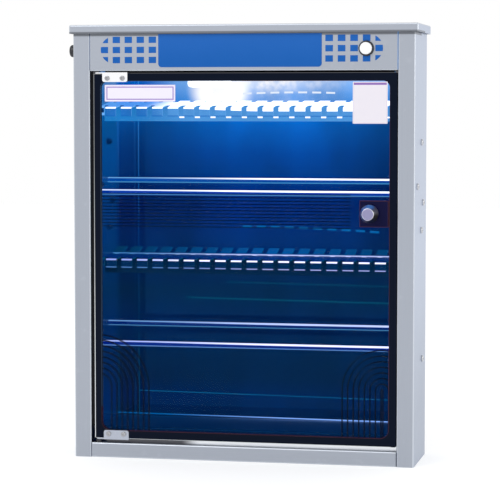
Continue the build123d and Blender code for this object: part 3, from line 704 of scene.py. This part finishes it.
    def add_rear_teeth(self):
        """The lower rack's raised rear row: a crease with a painted highlight, and a row of teeth in painted
        blue light that slope up behind it.
        """
        finish = Finish("lit_rear_teeth", Metallic=1.0, Roughness=0.25, Base_Color=(0.0005, 0.008, 0.025))
        x, y, _ = finish.place()
        across, _, _ = finish.facing()
        teeth = finish.ramp(x / (350 * MM) + 0.5, [
            (0.0, (0.0, 0.030, 0.090)), (0.38, (0.0, 0.060, 0.220)), (0.55, (0.001, 0.085, 0.320)),
            (1.0, (0.0, 0.045, 0.140)),
        ])
        teeth = finish.mix(abs(across) > 0.7, teeth, (0.0, 0.13, 0.36))
        crease = finish.mix(x.ease(-160 * MM, 10 * MM), (0.055, 0.21, 0.50), (0.55, 0.62, 1.05))
        finish.set(
            Emission_Color=finish.mix(y < CREASE_BACK, teeth, crease),
            Emission_Strength=1.0,
        )
        mesh = grow("lower_rack_teeth", self.teeth_tree(), {
            "Width": 348 * MM, "Tooth": 12.0 * MM, "Pitch": SLOT_PITCH, "Depth": 20.5 * MM, "Sheet": 1.0 * MM,
            "Slope": 0.27, "Crease Y": RACK_HIGH.y + 0.3 * MM, "Crease Z": RACK_HIGH.z - 0.1 * MM,
            "Teeth": SLOTS, "Material": finish.material,
        })
        add_piece("lower_rack_teeth", mesh, finish, "cabinet")

    def teeth_tree(self):
        """A strip along the crease, a sloping band behind it and a row of teeth on the band."""
        sizes = ["Width", "Tooth", "Pitch", "Depth", "Sheet", "Slope", "Crease Y", "Crease Z"]
        grower = Grower("rear teeth", sizes, ["Teeth"])
        given = grower.given
        slope = grower.vector(given["Slope"], 0.0, 0.0)
        strip_size = grower.vector(given["Width"], STRIP_DEPTH, STRIP_HEIGHT)
        strip = grower.node("GeometryNodeMeshCube", None, Size=strip_size).outputs[0]
        strip = grower.node("GeometryNodeTransform", None, Geometry=strip,
                            Translation=grower.vector(0.0, given["Crease Y"], given["Crease Z"])).outputs[0]
        band = grower.node("GeometryNodeMeshCube", None,
                           Size=grower.vector(given["Width"], BAND_DEPTH, given["Sheet"])).outputs[0]
        band_y = grower.sum("ADD", given["Crease Y"], BAND_BACK)
        band_z = grower.sum("ADD", given["Crease Z"], grower.sum("MULTIPLY", given["Slope"], BAND_BACK))
        band = grower.node("GeometryNodeTransform", None, Geometry=band, Rotation=slope,
                           Translation=grower.vector(0.0, band_y, band_z)).outputs[0]
        tooth = grower.node("GeometryNodeMeshCube", None,
                            Size=grower.vector(given["Tooth"], given["Depth"], given["Sheet"])).outputs[0]
        tooth = grower.node("GeometryNodeTransform", None, Geometry=tooth, Rotation=slope).outputs[0]
        half_row = grower.sum("MULTIPLY", grower.sum("SUBTRACT", given["Teeth"], 1), 0.5)
        first = grower.sum("MULTIPLY", grower.sum("MULTIPLY", half_row, given["Pitch"]), -1.0)
        back = grower.sum("ADD", grower.sum("MULTIPLY", given["Depth"], 0.5), TOOTH_BACK)
        row_y = grower.sum("ADD", given["Crease Y"], back)
        row_z = grower.sum("ADD", given["Crease Z"], grower.sum("MULTIPLY", back, given["Slope"]))
        row = grower.node("GeometryNodeMeshLine", {"mode": "OFFSET"}, Count=given["Teeth"],
                          Start_Location=grower.vector(first, row_y, row_z),
                          Offset=grower.vector(given["Pitch"], 0.0, 0.0)).outputs[0]
        teeth = grower.node("GeometryNodeInstanceOnPoints", None, Points=row, Instance=tooth).outputs[0]
        whole = grower.node("GeometryNodeJoinGeometry")
        for shape in (strip, band, teeth):
            grower.tree.links.new(shape, whole.inputs[0])
        return grower.finish(whole.outputs[0])


class STERILIZER_OT_door(bpy.types.Operator):
    """Print the glass and finish the strike plate"""

    bl_idname = "sterilizer.door"
    bl_label = "Glass Door"

    def execute(self, context):
        dress(["door_glass"], self.glass_finish())
        strike = Finish("strike_steel", Metallic=1.0, Roughness=0.35, Base_Color=(0.10, 0.10, 0.16))
        dress(["strike_plate"], strike)
        return {"FINISHED"}

    def clear_part(self, x, z):
        """Distance outward from the clear part's rounded edge, in metres."""
        door = settings().door_print
        low_x, high_x = GLASS_LOW.x + door.left, GLASS_HIGH.x - door.right
        low_z, high_z = GLASS_LOW.z + door.bottom, GLASS_HIGH.z - door.top
        middle_z = (low_z + high_z) / 2
        radius = (z < middle_z) * (door.low_corner - door.high_corner) + door.high_corner
        side = abs(x - (low_x + high_x) / 2) - (high_x - low_x) / 2 + radius
        rise = abs(z - middle_z) - (high_z - low_z) / 2 + radius
        out_x = side.most(0.0)
        out_z = rise.most(0.0)
        return (out_x * out_x + out_z * out_z).root() + side.most(rise).least(0.0) - radius

    def strike_print(self, x, z):
        """Distance outward from the printed square behind the knob."""
        middle = (STRIKE_LOW + STRIKE_HIGH) / 2
        half = (STRIKE_HIGH - STRIKE_LOW) / 2
        return (abs(x - middle.x) - half.x).most(abs(z - middle.z) - half.z)

    def arches(self, x, z, center_x, center_z, first):
        """Concentric printed arches that stand on the lower border."""
        door = settings().door_print
        rise = (z - center_z).most(0.0)
        aside = x - center_x
        radius = (aside * aside + rise * rise).root()
        step = (radius - first) / door.arch_pitch + 0.5
        line = abs(step.fraction() - 0.5) < 0.08
        inside = (step > 0.0) * (step < door.arch_count)
        return line * inside

    def glass_finish(self):
        """Clear glass with its black border, the square behind the knob, the arches and the stripes."""
        door = settings().door_print
        finish = Finish("printed_door_glass", Base_Color=(0.01, 0.03, 0.08), Roughness=0.03, Alpha=0.02)
        x, _, z = finish.place()
        edge = self.clear_part(x, z)
        strike = self.strike_print(x, z)
        border = (edge > 0.0).most(strike < 0.0)
        outline = (abs(edge) < 0.22 * MM).most(abs(strike) < 0.28 * MM)
        right = self.arches(x, z, *RIGHT_ARCHES)
        left = self.arches(x, z, *LEFT_ARCHES)
        stripe = abs((z / door.stripe_pitch).fraction() - 0.5) < 0.17
        stripe = stripe * z.within(STRIPES_LOW, STRIPES_HIGH) * (x < STRIPES_EAST)
        lines = (right.most(left) * 0.85).most(stripe * 0.36)
        tone = finish.mix(strike < 0.0, door.ink, door.strike)
        tone = finish.mix(outline, tone, door.outline)
        tone = finish.mix(outline * (x < 0.0) * (z > 60 * MM), tone, (0.05, 0.09, 0.16))
        ink = finish.node("ShaderNodeBsdfPrincipled", None, Roughness=0.12, Specular_IOR_Level=0.04)
        # Painted light on the bare rim: pale low down, and darker towards the top
        rim = finish.mix(z.ease(60 * MM, 400 * MM), door.rim, [c * 0.25 for c in door.rim])
        finish.put(ink.inputs["Base Color"], finish.mix(self.bare_rim(x, z), tone, rim))
        finish.blend(border.most(outline).most(lines), ink)
        return finish

    def bare_rim(self, x, z):
        """1 on the rim at the left, the top and the bottom, where the print stops short of the edge."""
        bare = settings().door_print.bare
        left = x < GLASS_LOW.x + bare
        top = (z > GLASS_HIGH.z - bare) * (x < -150 * MM)
        bottom = (z < GLASS_LOW.z + 0.5 * bare) * (x < GLASS_HIGH.x - 6 * MM)
        return left.most(top).most(bottom)


class STERILIZER_OT_fittings(bpy.types.Operator):
    """Finish the hinge clips, the knob, the catch and the screws"""

    bl_idname = "sterilizer.fittings"
    bl_label = "Hinges, Knob and Screws"

    def execute(self, context):
        # Painted light: the upper clip takes a bright, lit color and the lower one a grey, shaded color,
        # though both are the same plated clip
        dress(["upper_hinge_clip"], self.plated("bright_clip", (0.95, 0.95, 0.97), 0.30))
        dress(["lower_hinge_clip"], self.plated("shaded_grey_clip", (0.46, 0.49, 0.57), 0.30))
        dress(["hinge_screws", "upper_hinge_pin", "lower_hinge_pin", "knob_screw"],
              self.plated("plated_screw", (0.42, 0.42, 0.44), 0.18))
        dress(["side_bolts", "back_screws", "switch_nut", "fuse_nut"],
              self.plated("polished_bolt", (0.52, 0.53, 0.56), 0.15))
        dress(["door_knob"], self.knob_finish())
        plastic = self.moulded("black_moulding", (0.012, 0.013, 0.018), 0.35)
        dress(["lower_hinge_bush", "upper_hinge_bush", "magnet_catch", "fuse_holder", "fuse_cap"], plastic)
        dress(["power_inlet", "switch_body", "lamp_driver", "terminal_block"], plastic)
        dress(["door_buffers"], self.moulded("soft_rubber", (0.012, 0.012, 0.012), 0.7))
        dress(["catch_magnet"], self.moulded("dark_magnet", (0.05, 0.05, 0.06), 0.5))
        dress(["power_button"], self.moulded("white_button", (0.90, 0.90, 0.90), 0.25))
        return {"FINISHED"}

    def knob_finish(self):
        """Satin plated knob: a lilac grey face, a pale cone and painted shade on its lower right side."""
        finish = Finish("satin_knob", Metallic=1.0, Roughness=0.28)
        across, out, up = finish.facing()
        marks = finish.noise(0.002, detail=4.0)
        # Painted shade: the cone turns dark on its lower right side, and stays pale elsewhere
        cone = finish.mix((across * 0.6 - up * 0.8).ease(0.30, 0.75), (0.96, 0.96, 0.97), (0.22, 0.20, 0.14))
        tone = finish.mix(out < -0.95, cone, (0.30, 0.29, 0.48))
        finish.set(Base_Color=finish.mix(marks * 0.15, tone, (0.30, 0.30, 0.34)))
        return finish

    def plated(self, name, color, rough):
        """Plated metal with faint handling marks."""
        finish = Finish(name, Metallic=1.0)
        marks = finish.noise(0.002, detail=4.0)
        finish.set(
            Base_Color=finish.mix(marks * 0.4, color, [c * 0.82 for c in color]),
            Roughness=marks * 0.14 + (rough - 0.07),
        )
        return finish

    def moulded(self, name, color, rough):
        """Moulded plastic or rubber with a fine texture."""
        finish = Finish(name)
        grain = finish.noise(0.0006, detail=3.0)
        cloud = finish.noise(0.008, detail=2.0)
        finish.set(
            Base_Color=finish.mix(cloud * 0.3, color, [min(1.0, c * 1.25 + 0.004) for c in color]),
            Roughness=grain * 0.12 + (rough - 0.06),
        )
        finish.bump(grain, 0.00003, 0.3)
        return finish


class STERILIZER_OT_lamp(bpy.types.Operator):
    """Switch on the lamp under the ceiling"""

    bl_idname = "sterilizer.lamp"
    bl_label = "Lamp"

    def execute(self, context):
        glow = settings().glow
        cover = Finish("lit_cover", Base_Color=glow.lamp, Roughness=0.3, Emission_Strength=2.5)
        cloud = cover.noise(0.01, detail=2.0)
        cover.set(Emission_Color=cover.mix(cloud * 0.3, glow.lamp, (0.6, 0.8, 1.0)))
        dress(["lamp_cover", "lamp_emitters"], cover)
        alloy = Finish("alloy_fins", Metallic=1.0, Base_Color=(0.5, 0.62, 0.8))
        alloy.set(Roughness=alloy.noise(0.003, detail=3.0) * 0.2 + 0.3)
        dress(["lamp_heat_sink"], alloy)
        board = Finish("white_board")
        tracks = board.noise(0.004, detail=1.0)
        tone = board.mix(tracks.ease(0.5, 0.55), (0.85, 0.87, 0.88), (0.7, 0.74, 0.76))
        board.set(Base_Color=tone, Roughness=0.4)
        dress(["lamp_board"], board)
        return {"FINISHED"}


def set_input(modifier, tree, name, value):
    """Sets a Geometry Nodes input by the identifier of the socket with that name."""
    for item in tree.interface.items_tree:
        if item.name == name and item.in_out == "INPUT":
            modifier[item.identifier] = value
            return
    raise ValueError(f"{tree.name} has no input {name}")


def tree_inputs(tree, sizes, counts):
    """Adds named inputs to a Geometry Nodes tree, and its output."""
    for name in sizes:
        tree.interface.new_socket(name, in_out="INPUT", socket_type="NodeSocketFloat")
    for name in counts:
        tree.interface.new_socket(name, in_out="INPUT", socket_type="NodeSocketInt")
    tree.interface.new_socket("Material", in_out="INPUT", socket_type="NodeSocketMaterial")
    tree.interface.new_socket("Geometry", in_out="OUTPUT", socket_type="NodeSocketGeometry")


class Grower:
    """A Geometry Nodes tree under construction."""

    def __init__(self, name, sizes, counts=()):
        self.tree = bpy.data.node_groups.new(name, "GeometryNodeTree")
        tree_inputs(self.tree, sizes, counts)
        self.given = self.tree.nodes.new("NodeGroupInput").outputs
        self.result = self.tree.nodes.new("NodeGroupOutput").inputs["Geometry"]

    def node(self, kind, modes=None, **sockets):
        node = self.tree.nodes.new(kind)
        for name, value in (modes or {}).items():
            setattr(node, name, value)
        for name, value in sockets.items():
            socket = node.inputs[name.replace("_", " ")]
            if isinstance(value, bpy.types.NodeSocket):
                self.tree.links.new(value, socket)
            else:
                socket.default_value = value
        return node

    def sum(self, operation, first, second):
        node = self.node("ShaderNodeMath", {"operation": operation})
        for socket, value in zip(node.inputs, (first, second)):
            if isinstance(value, bpy.types.NodeSocket):
                self.tree.links.new(value, socket)
            else:
                socket.default_value = value
        return node.outputs[0]

    def vector(self, x, y, z):
        return self.node("ShaderNodeCombineXYZ", None, X=x, Y=y, Z=z).outputs[0]

    def finish(self, geometry):
        """Ends the tree in plain geometry with its material."""
        plain = self.node("GeometryNodeRealizeInstances", None, Geometry=geometry).outputs[0]
        dressed = self.node("GeometryNodeSetMaterial", None, Geometry=plain, Material=self.given["Material"])
        self.tree.links.new(dressed.outputs[0], self.result)
        return self.tree


def grow(name, tree, values):
    """Runs a Geometry Nodes tree and returns its result as a plain mesh."""
    seed = bpy.data.objects.new(name + "_seed", bpy.data.meshes.new(name + "_seed"))
    bpy.context.scene.collection.objects.link(seed)
    modifier = seed.modifiers.new("grow", "NODES")
    modifier.node_group = tree
    for key, value in values.items():
        set_input(modifier, tree, key, value)
    bpy.context.view_layer.update()
    graph = bpy.context.evaluated_depsgraph_get()
    mesh = bpy.data.meshes.new_from_object(seed.evaluated_get(graph))
    mesh.name = name
    bpy.data.objects.remove(seed)
    if not mesh.polygons:
        raise ValueError(f"{name} came out empty")
    return mesh


class STERILIZER_OT_header(bpy.types.Operator):
    """Print the blue plate and the squares beside it"""

    bl_idname = "sterilizer.header"
    bl_label = "Header Pattern"

    def execute(self, context):
        dress(["header_plate"], self.film("blue_plate_film", 0.3))
        finish = self.film("blue_square_film", 0.45)
        tree = self.squares_tree()
        for name, (outer, middle, inward) in PATTERNS.items():
            self.add_squares(name, tree, finish, outer, middle, inward)
        return {"FINISHED"}

    def film(self, name, rough):
        """Blue printed film, a little deeper towards its lower edge."""
        blue = settings().header.blue
        finish = Finish(name)
        _, _, z = finish.place()
        cloud = finish.noise(0.02, detail=3.0)
        depth = z.ease(PLATE_LOW.z, PLATE_HIGH.z)
        light = [min(1.0, c * 1.15 + 0.010) for c in blue]
        tone = finish.mix(depth * 0.7 + cloud * 0.3, blue, light)
        finish.set(Base_Color=tone, Roughness=cloud * 0.1 + rough, Specular_IOR_Level=0.15)
        return finish

    def squares_tree(self):
        """A grid of flat squares, cut to a round end at the grid's outer side."""
        sizes = ["Width", "Height", "Across", "Up", "Film", "Mid X", "Mid Y", "Mid Z", "Outer", "Inward"]
        grower = Grower("header squares", sizes, ["Columns", "Rows"])
        given = grower.given
        span = grower.sum("MULTIPLY", given["Across"], grower.sum("SUBTRACT", given["Columns"], 1))
        rise = grower.sum("MULTIPLY", given["Up"], grower.sum("SUBTRACT", given["Rows"], 1))
        grid = grower.node("GeometryNodeMeshGrid", None, Size_X=span, Size_Y=rise,
                           Vertices_X=given["Columns"], Vertices_Y=given["Rows"]).outputs[0]
        middle = grower.vector(given["Mid X"], given["Mid Y"], given["Mid Z"])
        grid = grower.node("GeometryNodeTransform", None, Geometry=grid, Translation=middle,
                           Rotation=(math.pi / 2, 0, 0)).outputs[0]
        square = grower.node("GeometryNodeMeshCube", None,
                             Size=grower.vector(given["Width"], given["Film"], given["Height"])).outputs[0]
        squares = grower.node("GeometryNodeInstanceOnPoints", None, Points=grid, Instance=square).outputs[0]
        squares = grower.node("GeometryNodeRealizeInstances", None, Geometry=squares).outputs[0]
        half = grower.sum("MULTIPLY", grower.sum("ADD", rise, given["Height"]), 0.5)
        half = grower.sum("ADD", half, END_MARGIN)
        center = grower.sum("ADD", given["Outer"], grower.sum("MULTIPLY", given["Inward"], half))
        end = grower.node("GeometryNodeMeshCylinder", None, Vertices=64, Radius=half,
                          Depth=CUTTER_DEPTH).outputs[0]
        end = grower.node("GeometryNodeTransform", None, Geometry=end, Rotation=(math.pi / 2, 0, 0),
                          Translation=grower.vector(center, given["Mid Y"], given["Mid Z"])).outputs[0]
        body_x = grower.sum("ADD", center, grower.sum("MULTIPLY", given["Inward"], CUTTER_LENGTH / 2))
        body_size = grower.vector(CUTTER_LENGTH, 0.99 * CUTTER_DEPTH, grower.sum("MULTIPLY", half, 1.999))
        body = grower.node("GeometryNodeMeshCube", None, Size=body_size).outputs[0]
        body = grower.node("GeometryNodeTransform", None, Geometry=body,
                           Translation=grower.vector(body_x, given["Mid Y"], given["Mid Z"])).outputs[0]
        outline = self.join(grower, "UNION", end, body)
        return grower.finish(self.join(grower, "INTERSECT", squares, outline))

    def join(self, grower, operation, first, second):
        node = grower.node("GeometryNodeMeshBoolean", {"operation": operation, "solver": "EXACT"})
        socket = [s for s in node.inputs if s.type == "GEOMETRY"][1]
        grower.tree.links.new(first, socket)
        grower.tree.links.new(second, socket)
        return node.outputs[0]

    def add_squares(self, name, tree, finish, outer, middle, inward):
        header = settings().header
        reach = (header.columns - 1) * header.pitch_across + header.square_width
        mesh = grow(name, tree, {
            "Width": header.square_width, "Height": header.square_height, "Across": header.pitch_across,
            "Up": header.pitch_up, "Film": header.film, "Columns": header.columns, "Rows": header.rows,
            "Mid X": outer + inward * reach / 2, "Mid Y": HEADER_LOW.y - header.film / 2,
            "Mid Z": middle, "Outer": outer, "Inward": float(inward), "Material": finish.material,
        })
        add_piece(name, mesh, finish, "cabinet")


def plate_mesh(name, low, high, radius, steps=6):
    """A flat plate with rounded corners, facing -Y, from its lowest to its highest corner."""
    shape = bmesh.new()
    outline = []
    for turn, (x, z) in enumerate(((high.x - radius, high.z - radius), (low.x + radius, high.z - radius),
                                   (low.x + radius, low.z + radius), (high.x - radius, low.z + radius))):
        for step in range(steps + 1):
            angle = math.pi / 2 * (turn + step / steps)
            outline.append((x + radius * math.cos(angle), z + radius * math.sin(angle)))
    front = [shape.verts.new((x, low.y, z)) for x, z in outline]
    back = [shape.verts.new((x, high.y, z)) for x, z in outline]
    shape.faces.new(front)
    shape.faces.new(back[::-1])
    for i in range(len(front)):
        j = (i + 1) % len(front)
        shape.faces.new((front[j], front[i], back[i], back[j]))
    bmesh.ops.recalc_face_normals(shape, faces=shape.faces)
    mesh = bpy.data.meshes.new(name)
    shape.to_mesh(mesh)
    shape.free()
    return mesh


class STERILIZER_OT_stickers(bpy.types.Operator):
    """Put the two blank stickers on the glass"""

    bl_idname = "sterilizer.stickers"
    bl_label = "Stickers"

    def execute(self, context):
        self.add_sticker("wide_sticker", *WIDE_STICKER, self.framed_paper)
        self.add_sticker("tall_sticker", *TALL_STICKER, self.banded_paper)
        return {"FINISHED"}

    def add_sticker(self, name, low, high, paper):
        front = GLASS_LOW.y - PAPER
        low_corner = Vector((low[0] * MM, front, low[1] * MM))
        high_corner = Vector((high[0] * MM, GLASS_LOW.y, high[1] * MM))
        mesh = plate_mesh(name, low_corner, high_corner, PAPER_CORNER)
        add_piece(name, mesh, paper(name + "_paper", low_corner, high_corner), "door")

    def inset(self, x, z, low, high):
        """Distance inward from the sticker's edge."""
        middle, half = (low + high) / 2, (high - low) / 2
        return (half.x - abs(x - middle.x)).least(half.z - abs(z - middle.z))

    def framed_paper(self, name, low, high):
        """White film with a double lilac frame."""
        finish = Finish(name, Roughness=0.35)
        x, _, z = finish.place()
        inward = self.inset(x, z, low, high)
        thin = inward < 0.5 * MM
        wide = inward.within(2.0 * MM, 3.4 * MM)
        frame_color = finish.mix(wide, (0.84, 0.80, 0.90), (0.33, 0.22, 0.58))
        frame_color = finish.mix(thin, frame_color, (0.60, 0.52, 0.78))
        cloud = finish.noise(0.01, detail=2.0)
        finish.set(Base_Color=finish.mix(cloud * 0.12, frame_color, (0.7, 0.7, 0.85)))
        return finish

    def banded_paper(self, name, low, high):
        """Pale film with a purple band at its top and a faint frame."""
        finish = Finish(name, Roughness=0.35)
        x, _, z = finish.place()
        inward = self.inset(x, z, low, high)
        band = (z > high.z - 3.6 * MM) * (inward > 1.1 * MM)
        line = inward.within(0.9 * MM, 1.2 * MM)
        tone = finish.mix(line, (0.80, 0.76, 0.82), (0.62, 0.52, 0.66))
        tone = finish.mix(band, tone, (0.24, 0.11, 0.42))
        cloud = finish.noise(0.01, detail=2.0)
        finish.set(Base_Color=finish.mix(cloud * 0.12, tone, (0.6, 0.6, 0.75)))
        return finish


class STERILIZER_OT_stage(bpy.types.Operator):
    """Set the pale floor, the lights and the camera"""

    bl_idname = "sterilizer.stage"
    bl_label = "Stage"

    def execute(self, context):
        self.add_floor()
        self.add_world(context.scene)
        self.add_light("key", (-0.9, -1.8, 1.9), 1.4, 16.0)
        self.add_light("side", (2.2, -0.5, 0.9), 1.2, 9.0)
        self.add_camera(context.scene)
        context.scene.view_settings.view_transform = "Standard"
        return {"FINISHED"}

    def add_floor(self):
        """A pale floor that the camera and bright metal see as white, with the object's shadow on it."""
        mesh = bpy.data.meshes.new("floor")
        reach = 6.0
        corners = [(-reach, -reach, 0), (reach, -reach, 0), (reach, reach, 0), (-reach, reach, 0)]
        mesh.from_pydata(corners, [], [(0, 1, 2, 3)])
        floor = bpy.data.objects.new("floor", mesh)
        bpy.context.scene.collection.objects.link(floor)
        pale = settings().stage.pale
        finish = Finish("pale_floor", Roughness=0.9)
        seen = Wire(finish, self.seen(finish.tree))
        finish.set(
            Base_Color=finish.mix(seen, pale, [c * 0.6 for c in pale]),
            Emission_Color=finish.mix(seen, (0, 0, 0), (0.52, 0.52, 0.52)),
            Emission_Strength=1.0,
        )
        mesh.materials.append(finish.material)

    def seen(self, tree):
        """1 for what the camera, a reflection or a clear part shows, and 0 for light on the object."""
        path = tree.nodes.new("ShaderNodeLightPath").outputs
        total = path["Is Camera Ray"]
        for name in ("Is Glossy Ray", "Is Transmission Ray"):
            node = tree.nodes.new("ShaderNodeMath")
            node.operation = "MAXIMUM"
            tree.links.new(total, node.inputs[0])
            tree.links.new(path[name], node.inputs[1])
            total = node.outputs[0]
        return total

    def add_world(self, scene):
        world = bpy.data.worlds.new("pale_room")
        world.use_nodes = True
        tree = world.node_tree
        room = settings().stage.room
        background = tree.nodes["Background"]
        background.inputs["Color"].default_value = (1.0, 1.0, 1.0, 1.0)
        strength = tree.nodes.new("ShaderNodeMapRange")
        strength.inputs["To Min"].default_value = room
        strength.inputs["To Max"].default_value = 1.0
        tree.links.new(self.seen(tree), strength.inputs["Value"])
        tree.links.new(strength.outputs[0], background.inputs["Strength"])
        scene.world = world

    def add_light(self, name, place, size, watts):
        """A square lamp that aims at the cabinet's middle."""
        data = bpy.data.lights.new(name, "AREA")
        data.size = size
        data.energy = watts
        light = bpy.data.objects.new(name, data)
        light.location = place
        aim = Vector(LIGHT_TARGET) - Vector(place)
        light.rotation_euler = aim.to_track_quat("-Z", "Y").to_euler()
        bpy.context.scene.collection.objects.link(light)

    def add_camera(self, scene):
        stage = settings().stage
        data = bpy.data.cameras.new("camera")
        data.sensor_width = 36.0
        data.lens = stage.lens
        camera = bpy.data.objects.new("camera", data)
        level = math.cos(stage.pitch)
        ahead = Vector((-math.sin(stage.yaw) * level, math.cos(stage.yaw) * level, -math.sin(stage.pitch)))
        right = Vector((math.cos(stage.yaw), math.sin(stage.yaw), 0))
        turn = Matrix((right, right.cross(ahead), -ahead)).transposed().to_4x4()
        camera.matrix_world = Matrix.Translation(CAMERA_PLACE) @ turn
        scene.collection.objects.link(camera)
        scene.camera = camera


class STERILIZER_PT_panel(bpy.types.Panel):
    """The steps and sizes of the cabinet"""

    bl_label = "Sterilizer"
    bl_space_type = "VIEW_3D"
    bl_region_type = "UI"
    bl_category = "Sterilizer"

    def draw(self, context):
        for group in GROUPS:
            box = self.layout.box()
            values = getattr(context.scene.sterilizer, group)
            for name in values.bl_rna.properties.keys():
                if name not in {"rna_type", "name"}:
                    box.prop(values, name)
        for step in STEPS:
            self.layout.operator(step.bl_idname)


class SterilizerSettings(bpy.types.PropertyGroup):
    """All settings of the cabinet."""

    steel: PointerProperty(type=SteelSettings)
    glow: PointerProperty(type=GlowSettings)
    door_print: PointerProperty(type=DoorPrintSettings)
    header: PointerProperty(type=HeaderSettings)
    stage: PointerProperty(type=StageSettings)


GROUPS = ("steel", "glow", "door_print", "header", "stage")
STEPS = (
    STERILIZER_OT_shell,
    STERILIZER_OT_inside,
    STERILIZER_OT_door,
    STERILIZER_OT_fittings,
    STERILIZER_OT_lamp,
    STERILIZER_OT_header,
    STERILIZER_OT_stickers,
    STERILIZER_OT_stage,
)
CLASSES = (
    SteelSettings,
    GlowSettings,
    DoorPrintSettings,
    HeaderSettings,
    StageSettings,
    SterilizerSettings,
    *STEPS,
    STERILIZER_PT_panel,
)


def register():
    for item in CLASSES:
        bpy.utils.register_class(item)
    bpy.types.Scene.sterilizer = PointerProperty(type=SterilizerSettings)


def unregister():
    del bpy.types.Scene.sterilizer
    for item in reversed(CLASSES):
        bpy.utils.unregister_class(item)


def main():
    register()
    for step in STEPS:
        group, name = step.bl_idname.split(".")
        getattr(getattr(bpy.ops, group), name)()


if __name__ == "__main__":
    main()
